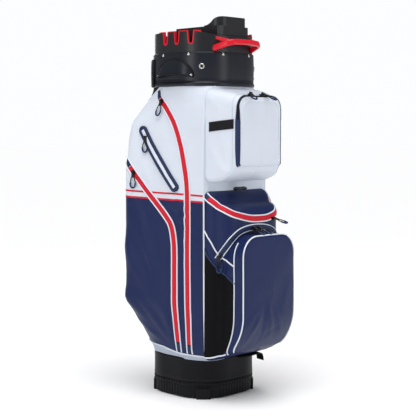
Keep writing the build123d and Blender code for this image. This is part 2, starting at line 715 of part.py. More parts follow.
UPPER = (UPPER_BACK, UPPER_FRONT, FRONT_PLANE, UPPER_DEPTH)
COOLER = (COOLER_BACK, COOLER_FRONT, FRONT_PLANE, COOLER_DEPTH)
BALL = (BALL_BACK, BALL_FRONT, FRONT_PLANE - COOLER_DEPTH, BALL_DEPTH)
for pocket_name, form in (("upper_pocket", UPPER), ("cooler_pocket", COOLER), ("ball_pocket", BALL)):
    with BuildPart() as front_pocket:
        add(open_backed(front_solid(*form, 0), front_solid(*form, PAD)))
    finish(front_pocket, pocket_name)

with BuildPart() as back_panel:
    with Locations((0, (TUBE_HALF + BACK_PLANE) / 2, SIDE_SECTIONS[0][0])):
        Box(
            2 * BACK_PANEL_HALF, BACK_PLANE - TUBE_HALF, COLLAR_BOTTOM - SIDE_SECTIONS[0][0],
            align=(Align.CENTER, Align.CENTER, Align.MIN),
        )
finish(back_panel, "back_panel")

with BuildPart() as back_yoke:
    add(square_tube(
        COLLAR_HALF + YOKE_THICKNESS, COLLAR_CORNER + YOKE_THICKNESS, YOKE_THICKNESS,
        COLLAR_BOTTOM, RIVET_HEIGHT - 2 * RIVET_RADIUS,
    ))
    with Locations((0, YOKE_FRONT, COLLAR_BOTTOM)):
        Box(
            3 * COLLAR_HALF, COLLAR_HALF, COLLAR_TOP - COLLAR_BOTTOM,
            align=(Align.CENTER, Align.MIN, Align.MIN), mode=Mode.INTERSECT,
        )
finish(back_yoke, "back_yoke")

# ---------------------------------------------------------------- zips, mesh and trims


def side_band(run, width):
    """A cutter along a zip's run on the left side: its band seen from the side, as a deep block."""
    with BuildPart() as band:
        with BuildSketch(Plane.YZ):
            with BuildLine():
                if len(run) == 2:
                    Line(*run)
                else:
                    FilletPolyline(*run, radius=bend_radii([Vector(*point) for point in run]))
                offset(amount=width / 2, side=Side.BOTH)
            make_face()
        extrude(amount=-3 * COLLAR_HALF)
    return band.part


diagonal_top, diagonal_bottom = (side_point(*end) for end in DIAGONAL_RUN)
diagonal_middle = (diagonal_top + diagonal_bottom) / 2
diagonal_along = (diagonal_bottom - diagonal_top).normalized()
diagonal_outward = side_outward(*DIAGONAL_RUN[0]) + side_outward(*DIAGONAL_RUN[1])
diagonal_outward = diagonal_outward - diagonal_along * diagonal_outward.dot(diagonal_along)
diagonal_face = Plane(
    origin=diagonal_middle + diagonal_outward.normalized() * DIAGONAL_PROUD,
    x_dir=diagonal_along, z_dir=diagonal_outward,
)


def side_tape(run):
    """One zip's tape over the outside of the left side pocket."""
    with BuildPart() as tape:
        add(side_solid(ZIP_THICKNESS))
        add(side_solid(0), mode=Mode.SUBTRACT)
        add(core, mode=Mode.SUBTRACT)
        add(side_band(run, ZIP_WIDTH), mode=Mode.INTERSECT)
    return tape.part


with BuildPart() as side_zips_left:
    with BuildSketch(diagonal_face):
        RectangleRounded(
            (diagonal_bottom - diagonal_top).length + 2 * DIAGONAL_END, DIAGONAL_WIDTH, 5,
        )
    extrude(amount=-3 * DIAGONAL_PROUD)
    add(side_solid(0), mode=Mode.SUBTRACT)
    add(side_tape(FRONT_ZIP_RUN))
    add(side_tape(REAR_ZIP_RUN))
finish(side_zips_left, "side_zips_left")

with BuildPart() as side_zips_right:
    mirror(side_zips_left.part, about=Plane.YZ)
finish(side_zips_right, "side_zips_right")


def skin(form, thickness):
    """A thin layer over the outside of a front pocket."""
    with BuildPart() as layer:
        add(front_solid(*form, 0, thickness))
        add(front_solid(*form, 0), mode=Mode.SUBTRACT)
    return layer.part


def across_prism(outline, low_x, high_x):
    """A prism along X of an outline given as points of y and height."""
    with BuildPart() as prism:
        with BuildSketch(Plane.YZ.offset(low_x)):
            with BuildLine():
                Polyline(*outline, close=True)
            make_face()
        extrude(amount=high_x - low_x)
    return prism.part


def slab(y, low, high):
    """A cutter for a zip band of the usual width that runs round a pocket at one depth."""
    near, far = y - ZIP_WIDTH / 2, y + ZIP_WIDTH / 2
    return across_prism(((near, low), (far, low), (far, high), (near, high)), -COLLAR_HALF, COLLAR_HALF)


with BuildPart() as upper_zip:
    add(skin(UPPER, ZIP_THICKNESS))
    add(slab(UPPER_ZIP_Y, UPPER_ZIP_END, COLLAR_BOTTOM), mode=Mode.INTERSECT)
finish(upper_zip, "upper_zip")

lid_rear = COOLER_BACK[2] - COOLER_ZIP_DROP
lid_front = COOLER_FRONT[2] - COOLER_ZIP_DROP
lid_fall = (lid_rear - lid_front) / COOLER_DEPTH
reach = 2 * ZIP_THICKNESS
with BuildPart() as cooler_zip:
    add(skin(COOLER, ZIP_THICKNESS))
    add(
        across_prism(
            (
                (FRONT_PLANE, lid_rear + ZIP_WIDTH / 2), (FRONT_PLANE, lid_rear - ZIP_WIDTH / 2),
                (FRONT_PLANE - COOLER_DEPTH - reach, lid_front - ZIP_WIDTH / 2 - reach * lid_fall),
                (FRONT_PLANE - COOLER_DEPTH - reach, lid_front + ZIP_WIDTH / 2 - reach * lid_fall),
            ),
            -COLLAR_HALF, COLLAR_HALF,
        ),
        mode=Mode.INTERSECT,
    )
finish(cooler_zip, "cooler_zip")

with BuildPart() as arch_zip:
    add(skin(BALL, ZIP_THICKNESS))
    add(slab(ARCH_ZIP_Y, ARCH_ZIP_END, COOLER_BACK[2]), mode=Mode.INTERSECT)
    with BuildPart(mode=Mode.PRIVATE) as arch_tails:
        add(skin(COOLER, ZIP_THICKNESS))
        head_y, head_z = FRONT_PLANE - COOLER_DEPTH, ARCH_TAIL_TOP
        tail_y, tail_z = head_y + ARCH_TAIL_LENGTH, head_z - ARCH_TAIL_RISE
        add(
            across_prism(
                (
                    (tail_y, tail_z - ZIP_WIDTH / 2), (head_y, head_z - ZIP_WIDTH / 2),
                    (head_y, head_z + ZIP_WIDTH / 2), (tail_y, tail_z + ZIP_WIDTH / 2),
                ),
                -COLLAR_HALF, COLLAR_HALF,
            ),
            mode=Mode.INTERSECT,
        )
    add(arch_tails.part)
finish(arch_zip, "arch_zip")

with BuildPart() as mesh_pockets:
    add(skin(COOLER, MESH_THICKNESS))
    mesh_rear = FRONT_PLANE - 2
    mesh_front = FRONT_PLANE - COOLER_DEPTH + 1
    add(
        across_prism(
            (
                (mesh_rear, COOLER_BACK[1] + MESH_BOTTOM), (mesh_front, COOLER_FRONT[1] + MESH_BOTTOM),
                (mesh_front, MESH_TOP_FRONT), (mesh_rear, MESH_TOP_REAR),
            ),
            -COLLAR_HALF, COLLAR_HALF,
        ),
        mode=Mode.INTERSECT,
    )
finish(mesh_pockets, "mesh_pockets")

with BuildPart() as glove_patch:
    patch_front = UPPER_ZIP_Y + ZIP_WIDTH / 2 + PATCH_MARGIN
    patch_rear = FRONT_PLANE + PATCH_REAR
    patch_low, patch_high = PATCH_HEIGHTS
    add(skin(UPPER, PATCH_THICKNESS))
    add(
        across_prism(
            (
                (patch_front, patch_low), (patch_rear, patch_low),
                (patch_rear, patch_high), (patch_front, patch_high),
            ),
            -COLLAR_HALF, 0,
        ),
        mode=Mode.INTERSECT,
    )
finish(glove_patch, "glove_patch")

with BuildPart() as base_strap:
    underside = (COOLER_FRONT[1] - COOLER_BACK[1]) / COOLER_DEPTH
    strap_front, strap_rear = (FRONT_PLANE + depth for depth in STRAP_SPAN)
    front_z = COOLER_BACK[1] + (FRONT_PLANE - strap_front) * underside
    rear_z = COOLER_BACK[1] + (FRONT_PLANE - strap_rear) * underside
    add(across_prism(
        (
            (strap_front, front_z), (strap_rear, rear_z),
            (strap_rear, rear_z - STRAP_THICKNESS), (strap_front, front_z - STRAP_THICKNESS),
        ),
        STRAP_LOW_X, STRAP_HIGH_X,
    ))
    add(across_prism(
        (
            (strap_front, front_z), (strap_rear, rear_z),
            (strap_rear, rear_z - STRAP_TAB), (strap_front, rear_z - STRAP_TAB),
        ),
        STRAP_HIGH_X, STRAP_HIGH_X + STRAP_THICKNESS,
    ))
finish(base_strap, "base_strap")

# ---------------------------------------------------------------- sliders and pull cords


def zip_slider(face, hang):
    """A slider on its tape's face, with a bail block that the pull cord leaves along the hang."""
    with BuildPart() as slider:
        with BuildSketch(face):
            RectangleRounded(SLIDER_LENGTH, SLIDER_WIDTH, 3)
        extrude(amount=SLIDER_HEIGHT)
        with BuildSketch(hang.offset(BAIL_HEIGHT / 2)):
            Rectangle(BAIL_LENGTH, BAIL_WIDTH)
        extrude(amount=-1.5 * BAIL_HEIGHT)
    return slider.part


def pull_cord(hang):
    """The loop of cord, from one end on the bail's face round to the other."""
    points = [hang.from_local_coords(Vector(along, across)) for along, across in CORD_ROUTE]
    radii = bend_radii(points)
    with BuildPart() as cord:
        with BuildLine() as path:
            FilletPolyline(*points, radius=radii)
        with BuildSketch(Plane(origin=points[0], z_dir=points[1] - points[0])):
            Circle(CORD_DIAMETER / 2)
        sweep()
    return cord.part, path.wires()[0].length, radii


def zip_pull(name, point, slide, outward, hang, hang_outward=None):
    """Writes one slider and its cord; slide, outward and hang are directions."""
    slide, outward, hang = (Vector(*direction).normalized() for direction in (slide, outward, hang))
    hang_outward = Vector(*(hang_outward or outward)).normalized()
    seat = Vector(*point) + outward * RUN_GAP
    face = Plane(origin=seat, x_dir=slide, z_dir=outward)
    hang_plane = Plane(
        origin=seat + outward * (SLIDER_HEIGHT + BAIL_LIFT) + hang_outward * (BAIL_HEIGHT / 2),
        x_dir=hang, z_dir=hang_outward,
    )
    with BuildPart() as slider:
        add(zip_slider(face, hang_plane))
    finish(slider, f"slider_{name}")
    cord_part, length, radii = pull_cord(hang_plane)
    with BuildPart() as cord:
        add(cord_part)
    finish(cord, f"pull_{name}")
    section = pi * (CORD_DIAMETER / 2) ** 2
    print(
        f"{name} seat {tuple(round(v, 2) for v in seat)} slide {tuple(round(v, 4) for v in slide)}"
        f" hang {tuple(round(v, 4) for v in hang_plane.x_dir)}"
        f" out {tuple(round(v, 4) for v in hang_outward)} cord {length:.1f} mm,"
        f" volume over section times length {cord.part.volume / section / length:.3f}"
    )
    return slider.part, cord.part, radii


def mirrored_pull(name, slider_part, cord_part):
    """The same slider and cord on the right side."""
    with BuildPart() as slider:
        mirror(slider_part, about=Plane.YZ)
    finish(slider, f"slider_{name}")
    with BuildPart() as cord:
        mirror(cord_part, about=Plane.YZ)
    finish(cord, f"pull_{name}")


def down_the_face(outward):
    """The steepest way down a face."""
    return Vector(0, 0, -1) - outward * Vector(0, 0, -1).dot(outward)


def along_run(start, end, distance):
    """The point of y and height at a distance from the start of a straight run."""
    start, end = Vector(*start), Vector(*end)
    return start + (end - start).normalized() * distance


front_start = along_run(*FRONT_ZIP_RUN[:2], FRONT_REST)
rear_start = along_run(*REAR_ZIP_RUN[:2], REAR_REST)
front_rest = side_point(front_start.X, front_start.Y)
front_slide = side_point(*FRONT_ZIP_RUN[1]) - front_rest
rear_rest = side_point(rear_start.X, rear_start.Y)
rear_slide = side_point(*REAR_ZIP_RUN[1]) - rear_rest
front_outward = side_outward(front_start.X, front_start.Y)
rear_outward = side_outward(rear_start.X, rear_start.Y)
diagonal_rest = diagonal_face.origin - diagonal_along * (
    (diagonal_bottom - diagonal_top).length / 2 - DIAGONAL_REST
)
side_pulls = {
    "front_zip": (
        front_rest + front_outward * (ZIP_THICKNESS + TWIST_GAP), front_slide, front_outward,
    ),
    "rear_zip": (rear_rest + rear_outward * ZIP_THICKNESS, rear_slide, rear_outward),
    "diagonal_zip": (diagonal_rest, diagonal_along, diagonal_face.z_dir),
}
for pull_name, (point, slide, outward) in side_pulls.items():
    slider_part, cord_part, radii = zip_pull(
        f"{pull_name}_left", point, slide, outward, down_the_face(outward),
    )
    mirrored_pull(f"{pull_name}_right", slider_part, cord_part)
print("cord radii", [round(radius, 1) for radius in radii])

upper_fall = (UPPER_BACK[2] - UPPER_FRONT[2]) / UPPER_DEPTH
upper_top = UPPER_FRONT[2] + (UPPER_ZIP_Y - FRONT_PLANE + UPPER_DEPTH) * upper_fall
upper_outward = Vector(0, -upper_fall, 1).normalized()
for pull_name, x, aside in UPPER_PULLS:
    zip_pull(
        pull_name, Vector(x, UPPER_ZIP_Y, upper_top) + upper_outward * ZIP_THICKNESS,
        (1, 0, 0), upper_outward, (aside, -0.8, -0.42), (0, -0.465, 0.885),
    )

cooler_front = FRONT_PLANE - COOLER_DEPTH - ZIP_THICKNESS
zip_pull(
    "cooler", (COOLER_PULL_X, cooler_front, lid_front), (1, 0, 0), (0, -1, 0), (0.15, -0.95, -0.28),
    (0, -0.283, 0.959),
)

ball_fall = (BALL_BACK[2] - BALL_FRONT[2]) / BALL_DEPTH
ball_top = BALL_BACK[2] - (FRONT_PLANE - COOLER_DEPTH - ARCH_ZIP_Y) * ball_fall
ball_outward = Vector(0, -ball_fall, 1).normalized()
for pull_name, x, aside in BALL_PULLS:
    zip_pull(
        pull_name, Vector(x, ARCH_ZIP_Y, ball_top) + ball_outward * ZIP_THICKNESS,
        (1, 0, 0), ball_outward, (aside, -0.93, -0.34), (0, -0.343, 0.939),
    )

wall_slope = (COOLER_BACK[0] - COOLER_FRONT[0]) / COOLER_DEPTH
wall_outward = Vector(-1, -wall_slope, 0).normalized()
tail_y = FRONT_PLANE - COOLER_DEPTH + ARCH_TAIL_LENGTH * BALL_SIDE_REST
tail_z = ARCH_TAIL_TOP - ARCH_TAIL_RISE * BALL_SIDE_REST
wall_x = COOLER_BACK[0] - (FRONT_PLANE - tail_y) * wall_slope
zip_pull(
    "ball_side", Vector(-wall_x, tail_y, tail_z) + wall_outward * ZIP_THICKNESS,
    (wall_slope * ARCH_TAIL_LENGTH, -ARCH_TAIL_LENGTH, ARCH_TAIL_RISE), wall_outward, (0, 0, -1),
)
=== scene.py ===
import bmesh
import bpy
import numpy as np
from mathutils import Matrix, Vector


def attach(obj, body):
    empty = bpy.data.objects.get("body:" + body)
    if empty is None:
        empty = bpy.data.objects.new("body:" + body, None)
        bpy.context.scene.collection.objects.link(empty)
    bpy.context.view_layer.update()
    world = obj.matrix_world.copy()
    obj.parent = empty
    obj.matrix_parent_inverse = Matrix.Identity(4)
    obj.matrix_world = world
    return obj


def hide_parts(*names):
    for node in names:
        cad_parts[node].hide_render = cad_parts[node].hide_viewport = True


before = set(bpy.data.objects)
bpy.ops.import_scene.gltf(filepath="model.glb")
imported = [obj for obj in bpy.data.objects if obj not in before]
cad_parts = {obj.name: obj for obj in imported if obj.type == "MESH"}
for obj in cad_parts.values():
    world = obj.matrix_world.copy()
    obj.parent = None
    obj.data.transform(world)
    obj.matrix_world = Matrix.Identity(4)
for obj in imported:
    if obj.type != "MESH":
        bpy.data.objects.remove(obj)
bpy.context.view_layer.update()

# A free-standing cart bag: +Z is up and the pockets face -Y. Sizes are in millimetres until a mesh or a
# cord is made, when MM turns them into metres. Lights and the camera are placed in metres.

MM = 0.001
BAG = "bag"
BODY_CENTRE, COLLAR_CENTRE, BASE_CENTRE = (0, 0, 400), (0, 0, 770), (0, 0, 60)
CLOTH_WALL = 1.2
SETTLE_CHUNK, SETTLE_NEAREST = 300, 5
ROUGHNESS_DRIFT = 0.25

# ---------------------------------------------------------------- finishes


def node_group(name, inputs, outputs):
    """An empty shader group with float inputs and outputs, and its two end nodes."""
    group = bpy.data.node_groups.new(name, "ShaderNodeTree")
    for label, value in inputs.items():
        group.interface.new_socket(label, in_out="INPUT", socket_type="NodeSocketFloat").default_value = value
    for label in outputs:
        group.interface.new_socket(label, in_out="OUTPUT", socket_type="NodeSocketFloat")
    return group, group.nodes.new("NodeGroupInput"), group.nodes.new("NodeGroupOutput")


def maths(tree, operation, first, second=None):
    """A Math node; each operand is a number or a socket."""
    node = tree.nodes.new("ShaderNodeMath")
    node.operation = operation
    for index, operand in enumerate((first, second)):
        if isinstance(operand, (int, float)):
            node.inputs[index].default_value = operand
        elif operand is not None:
            tree.links.new(operand, node.inputs[index])
    return node.outputs[0]


def cloth_axes(group):
    """The cloth's own map in metres, whole and split into its two directions."""
    uv = group.nodes.new("ShaderNodeUVMap")
    uv.uv_map = "cloth"
    split = group.nodes.new("ShaderNodeSeparateXYZ")
    group.links.new(uv.outputs[0], split.inputs[0])
    return uv.outputs[0], split.outputs


def plain_weave():
    """Height of a plain weave: warp and weft are rows of round threads, |sin| across each thread, and a
    checker says which of the two lies on top. Threads is per metre of cloth."""
    group, start, end = node_group("plain weave", {"Threads": 1200.0}, ("Height",))
    cloth, axes = cloth_axes(group)
    rows = []
    for axis in (0, 1):
        turns = maths(group, "MULTIPLY", axes[axis], start.outputs["Threads"])
        rows.append(maths(group, "ABSOLUTE", maths(group, "SINE", maths(group, "MULTIPLY", turns, np.pi))))
    checker = group.nodes.new("ShaderNodeTexChecker")
    group.links.new(cloth, checker.inputs["Vector"])
    group.links.new(start.outputs["Threads"], checker.inputs["Scale"])
    warp = maths(group, "MULTIPLY", rows[0], checker.outputs["Fac"])
    weft = maths(group, "MULTIPLY", rows[1], maths(group, "SUBTRACT", 1.0, checker.outputs["Fac"]))
    group.links.new(maths(group, "ADD", warp, weft), end.inputs["Height"])
    return group


def soft_mottle():
    """A slow unevenness over the object, 0 to 1, from noise with a finer noise on top."""
    group, start, end = node_group("soft mottle", {"Scale": 9.0}, ("Value",))
    where = group.nodes.new("ShaderNodeTexCoord")
    values = []
    for factor in (1.0, 5.0):
        noise = group.nodes.new("ShaderNodeTexNoise")
        noise.inputs["Detail"].default_value = 4.0
        group.links.new(where.outputs["Object"], noise.inputs["Vector"])
        group.links.new(maths(group, "MULTIPLY", start.outputs["Scale"], factor), noise.inputs["Scale"])
        values.append(noise.outputs["Fac"])
    mixed = maths(group, "ADD", maths(group, "MULTIPLY", values[0], 0.7), maths(group, "MULTIPLY", values[1], 0.3))
    group.links.new(mixed, end.inputs["Value"])
    return group


def moulded_grain():
    """Height of moulded or pressed grain: cells of a Voronoi pattern with fine noise over them."""
    group, start, end = node_group("moulded grain", {"Cells": 700.0}, ("Height",))
    where = group.nodes.new("ShaderNodeTexCoord")
    cells = group.nodes.new("ShaderNodeTexVoronoi")
    noise = group.nodes.new("ShaderNodeTexNoise")
    for node in (cells, noise):
        group.links.new(where.outputs["Object"], node.inputs["Vector"])
    group.links.new(start.outputs["Cells"], cells.inputs["Scale"])
    group.links.new(maths(group, "MULTIPLY", start.outputs["Cells"], 2.5), noise.inputs["Scale"])
    height = maths(group, "ADD", maths(group, "MULTIPLY", cells.outputs["Distance"], 0.8), noise.outputs["Fac"])
    group.links.new(height, end.inputs["Height"])
    return group


def open_mesh():
    """Height of spacer mesh: round holes in staggered rows. Holes is per metre of cloth."""
    group, start, end = node_group("open mesh", {"Holes": 420.0}, ("Height",))
    _, axes = cloth_axes(group)
    waves = []
    for mix in (1.0, -1.0):
        side = maths(group, "MULTIPLY", axes[1], mix)
        turns = maths(group, "MULTIPLY", maths(group, "ADD", axes[0], side), start.outputs["Holes"])
        waves.append(maths(group, "SINE", maths(group, "MULTIPLY", turns, np.pi)))
    product = maths(group, "MULTIPLY", waves[0], waves[1])
    group.links.new(maths(group, "ABSOLUTE", product), end.inputs["Height"])
    return group


WEAVE, MOTTLE, GRAIN, MESH = plain_weave(), soft_mottle(), moulded_grain(), open_mesh()


def finish(name, colour, shade, rough, texture=None, scale=None, depth=0.0, metal=0.0, coat=0.0, sheen=0.0, gloss=0.3):
    """A material: colour drifts to shade and roughness drifts with the mottle, and the texture group's
    height is a bump of that depth in metres."""
    material = bpy.data.materials.new(name)
    material.use_nodes = True
    tree = material.node_tree
    shader = tree.nodes["Principled BSDF"]
    shader.inputs["Metallic"].default_value = metal
    shader.inputs["Specular IOR Level"].default_value = gloss
    shader.inputs["Coat Weight"].default_value = coat
    shader.inputs["Coat Roughness"].default_value = 0.25
    shader.inputs["Sheen Weight"].default_value = sheen
    mottle = tree.nodes.new("ShaderNodeGroup")
    mottle.node_tree = MOTTLE
    tint = tree.nodes.new("ShaderNodeMix")
    tint.data_type = "RGBA"
    tint.inputs["A"].default_value = (*colour, 1)
    tint.inputs["B"].default_value = (*shade, 1)
    tree.links.new(mottle.outputs["Value"], tint.inputs["Factor"])
    tree.links.new(tint.outputs["Result"], shader.inputs["Base Color"])
    drift = maths(tree, "MULTIPLY", maths(tree, "SUBTRACT", mottle.outputs["Value"], 0.5), ROUGHNESS_DRIFT)
    tree.links.new(maths(tree, "ADD", drift, rough), shader.inputs["Roughness"])
    if texture:
        pattern = tree.nodes.new("ShaderNodeGroup")
        pattern.node_tree = texture
        pattern.inputs[0].default_value = scale
        bump = tree.nodes.new("ShaderNodeBump")
        bump.inputs["Distance"].default_value = depth
        bump.inputs["Strength"].default_value = 1.0
        tree.links.new(pattern.outputs["Height"], bump.inputs["Height"])
        tree.links.new(bump.outputs["Normal"], shader.inputs["Normal"])
    return material


white_fabric = finish(
    "white coated cloth", (0.72, 0.77, 0.85), (0.65, 0.70, 0.80), 0.42, WEAVE, 900, 0.00008, coat=0.12)
grey_fabric = finish("pale grey lining cloth", (0.46, 0.51, 0.61), (0.40, 0.45, 0.55), 0.55, WEAVE, 900, 0.00008)
navy_fabric = finish(
    "navy coated cloth", (0.005, 0.013, 0.070), (0.009, 0.020, 0.090), 0.36, WEAVE, 900, 0.00008, coat=0.05, gloss=0.2)
navy_tape = finish("navy welded tape", (0.008, 0.018, 0.070), (0.012, 0.024, 0.085), 0.45, WEAVE, 1600, 0.00004)
red_tape = finish("red zip tape", (0.58, 0.003, 0.018), (0.66, 0.008, 0.028), 0.50, WEAVE, 1500, 0.00008)
white_piping = finish("white piping", (0.78, 0.82, 0.88), (0.72, 0.76, 0.83), 0.40)
white_tape = finish("white zip tape", (0.76, 0.80, 0.88), (0.68, 0.73, 0.82), 0.5, WEAVE, 1500, 0.00008)
black_mesh = finish(
    "black spacer mesh", (0.002, 0.002, 0.003), (0.005, 0.005, 0.007), 0.8, MESH, 330, 0.0012, gloss=0.15)
black_cloth = finish("black cloth", (0.004, 0.004, 0.006), (0.008, 0.008, 0.011), 0.62, WEAVE, 700, 0.00012, gloss=0.2)
black_webbing = finish(
    "black webbing", (0.003, 0.003, 0.004), (0.006, 0.006, 0.008), 0.6, WEAVE, 600, 0.0003, gloss=0.2)
lining = finish("brushed lining", (0.010, 0.011, 0.015), (0.016, 0.017, 0.023), 0.8, GRAIN, 1500, 0.0001, sheen=0.1)
collar_sheet = finish(
    "satin collar sheet", (0.006, 0.0075, 0.014), (0.010, 0.012, 0.020), 0.34, GRAIN, 1600, 0.00005, coat=0.12)
binding = finish("black binding", (0.002, 0.002, 0.004), (0.005, 0.005, 0.008), 0.5, WEAVE, 900, 0.0001, gloss=0.2)
black_plastic = finish(
    "black moulded plastic", (0.005, 0.0055, 0.008), (0.009, 0.0095, 0.013), 0.33, GRAIN, 1100, 0.0001, gloss=0.45)
base_sheet = finish(
    "black base sheet", (0.0025, 0.0027, 0.0045), (0.005, 0.0055, 0.008), 0.48, GRAIN, 1500, 0.00006, gloss=0.15)
board = finish("grey board", (0.05, 0.05, 0.055), (0.07, 0.07, 0.075), 0.6, GRAIN, 900, 0.00005)
red_plastic = finish(
    "red moulded plastic", (0.64, 0.003, 0.016), (0.72, 0.007, 0.024), 0.32, GRAIN, 1800, 0.00002, coat=0.2)
red_rubber = finish("red soft rubber", (0.60, 0.003, 0.016), (0.68, 0.006, 0.022), 0.5, GRAIN, 1500, 0.00004)
foot_rubber = finish("foot rubber", (0.004, 0.004, 0.005), (0.008, 0.008, 0.009), 0.75, GRAIN, 1200, 0.0001, gloss=0.2)
nickel = finish("plated nickel", (0.62, 0.61, 0.59), (0.50, 0.49, 0.48), 0.25, metal=1.0)
dark_metal = finish("black enamelled metal", (0.004, 0.004, 0.005), (0.009, 0.009, 0.010), 0.30, metal=0.2, coat=0.2)
rod_metal = finish("drawn aluminium", (0.62, 0.63, 0.65), (0.55, 0.56, 0.58), 0.35, metal=1.0)
cord_black = finish("braided black cord", (0.003, 0.004, 0.007), (0.008, 0.009, 0.014), 0.6, GRAIN, 2600, 0.0001)
cord_rubber = finish("blue-black pull rubber", (0.006, 0.020, 0.072), (0.010, 0.028, 0.095), 0.38, coat=0.1)
thread_white = finish("white thread", (0.62, 0.66, 0.73), (0.55, 0.59, 0.66), 0.6)
thread_black = finish("grey thread", (0.030, 0.031, 0.037), (0.020, 0.021, 0.026), 0.6)

CAD_FINISHES = {
    "rim_ring": black_plastic, "club_grid": black_plastic, "wood_tower": black_plastic,
    "slot_liner_left": red_rubber, "slot_liner_back": red_rubber, "slot_liner_right": red_rubber,
    "base_feet": foot_rubber, "base_floor": board, "spine_board": board, "stay_rods": rod_metal,
    "centre_dividers": lining, "outer_dividers": lining,
}

# ---------------------------------------------------------------- surface tools


def unit(vectors):
    """Each vector over its own length."""
    return vectors / np.maximum(np.linalg.norm(vectors, axis=-1, keepdims=True), 1e-9)


def grid_faces(rows, columns, wrap=False):
    """The quads of a grid, one row and one column on from each point; wrapped, the last column meets the first."""
    row, column = np.meshgrid(np.arange(rows - 1), np.arange(columns if wrap else columns - 1), indexing="ij")
    step = (column + 1) % columns
    return np.stack((
        row * columns + column, (row + 1) * columns + column, (row + 1) * columns + step, row * columns + step,
    ), axis=-1).reshape(-1, 4)


def cloth_lengths(grid):
    """The cloth's own map in metres: lengths summed along the middle column and along the middle row."""
    down = np.linalg.norm(np.diff(grid[:, grid.shape[1] // 2], axis=0), axis=-1)
    across = np.linalg.norm(np.diff(grid[grid.shape[0] // 2], axis=0), axis=-1)
    down, across = (np.concatenate(([0.0], np.cumsum(steps))) * MM for steps in (down, across))
    return np.stack(np.meshgrid(across, down, indexing="xy"), axis=-1)


def linked(name, data):
    """A new object with this data, in the scene."""
    thing = bpy.data.objects.new(name, data)
    bpy.context.scene.collection.objects.link(thing)
    return thing


def outward_faces(mesh, weld=False):
    """Turns a closed mesh's faces outwards, after its doubles are merged if asked."""
    form = bmesh.new()
    form.from_mesh(mesh)
    if weld:
        bmesh.ops.remove_doubles(form, verts=form.verts, dist=1e-6)
    bmesh.ops.recalc_face_normals(form, faces=form.faces)
    form.to_mesh(mesh)
    form.free()


def finished(name, mesh, material, body=BAG):
    """A smooth mesh as a piece that rides on a body."""
    mesh.shade_smooth()
    mesh.materials.append(material)
    piece = linked(name, mesh)
    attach(piece, body)
    return piece


def new_piece(name, grid, material, wrap=False, capped=False, thickness=0.0, body=BAG, away_from=None):
    """A mesh from a grid of points in millimetres. A wrapped grid is a tube and may be capped at both
    ends; an open one is turned to face away from a point and gets its thickness inwards."""
    rows, columns = grid.shape[:2]
    faces = grid_faces(rows, columns, wrap)
    points = grid.reshape(-1, 3)
    if away_from is not None:
        corners = points[faces]
        normals = np.cross(corners[:, 2] - corners[:, 0], corners[:, 3] - corners[:, 1])
        if np.sum(normals * (corners.mean(axis=1) - np.asarray(away_from))) < 0:
            faces = faces[:, ::-1]
    face_list = faces.tolist()
    if capped:
        face_list += [list(range(columns))[::-1], list(range((rows - 1) * columns, rows * columns))]
    mesh = bpy.data.meshes.new(name)
    mesh.from_pydata((points * MM).tolist(), [], face_list)
    lengths = cloth_lengths(grid).reshape(-1, 2)
    corner_points = np.empty(len(mesh.loops), dtype=np.int32)
    mesh.loops.foreach_get("vertex_index", corner_points)
    mesh.uv_layers.new(name="cloth").data.foreach_set("uv", lengths[corner_points].ravel())
    if away_from is None:
        outward_faces(mesh)
    piece = finished(name, mesh, material, body)
    if thickness:
        wall = piece.modifiers.new("cloth thickness", "SOLIDIFY")
        wall.thickness = thickness * MM
        wall.offset = -1.0
    return piece


def smooth_path(points, count):
    """A path through the points as Catmull-Rom cubics, sampled evenly by length."""
    points = np.asarray(points, float)
    padded = np.vstack((2 * points[0] - points[1], points, 2 * points[-1] - points[-2]))
    place = np.linspace(0, len(points) - 1, 50 * len(points))
    span = np.clip(place.astype(int), 0, len(points) - 2)
    share = (place - span)[:, None]
    before, start, end, after = (padded[span + step] for step in range(4))
    dense = 0.5 * (
        2 * start + (end - before) * share + (2 * before - 5 * start + 4 * end - after) * share**2
        + (3 * start - before - 3 * end + after) * share**3
    )
    return evenly(dense, count)


def evenly(dense, count):
    """A polyline's points again, evenly spaced by length."""
    run = np.concatenate(([0.0], np.cumsum(np.linalg.norm(np.diff(dense, axis=0), axis=1))))
    even = np.linspace(0, run[-1], count)
    return np.column_stack([np.interp(even, run, dense[:, axis]) for axis in range(3)])


def outward_normals(grid, centre):
    """A grid's normals, the cross product of its two directions, turned away from a centre."""
    normals = unit(np.cross(np.gradient(grid, axis=0), np.gradient(grid, axis=1)))
    return -normals if np.sum(normals * (grid - np.asarray(centre))) < 0 else normals


def shell_of(grid, centre):
    """A grid's points with their outward normals."""
    return grid.reshape(-1, 3), outward_normals(grid, centre).reshape(-1, 3)


def join_shells(*shells):
    """Several shells as one."""
    return tuple(np.concatenate(parts) for parts in zip(*shells))


def settle(points, shell, reach=26.0):
    """Points dropped onto a shell: each moves to the tangent plane of the shell's nearest points, weighted
    by nearness. Returns the points and the normals there."""
    flat = points.reshape(-1, 3)
    landed, outward = [], []
    for run in np.array_split(flat, max(len(flat) // SETTLE_CHUNK, 1)):
        near = np.all((shell[0] > run.min(axis=0) - reach) & (shell[0] < run.max(axis=0) + reach), axis=1)
        cloud, normals = shell[0][near], shell[1][near]
        gaps = np.sum(run**2, axis=1)[:, None] + np.sum(cloud**2, axis=1)[None] - 2 * run @ cloud.T
        nearest = np.argpartition(gaps, SETTLE_NEAREST, axis=1)[:, :SETTLE_NEAREST]
        weight = 1 / (np.maximum(np.take_along_axis(gaps, nearest, axis=1), 0) + 1.0)
        weight = (weight / weight.sum(axis=1, keepdims=True))[..., None]
        facing = normals[nearest]
        drop = np.sum((run[:, None] - cloud[nearest]) * facing, axis=-1, keepdims=True) * facing
        landed.append(run - np.sum(drop * weight, axis=1))
        outward.append(unit(np.sum(facing * weight, axis=1)))
    return np.concatenate(landed).reshape(points.shape), np.concatenate(outward).reshape(points.shape)


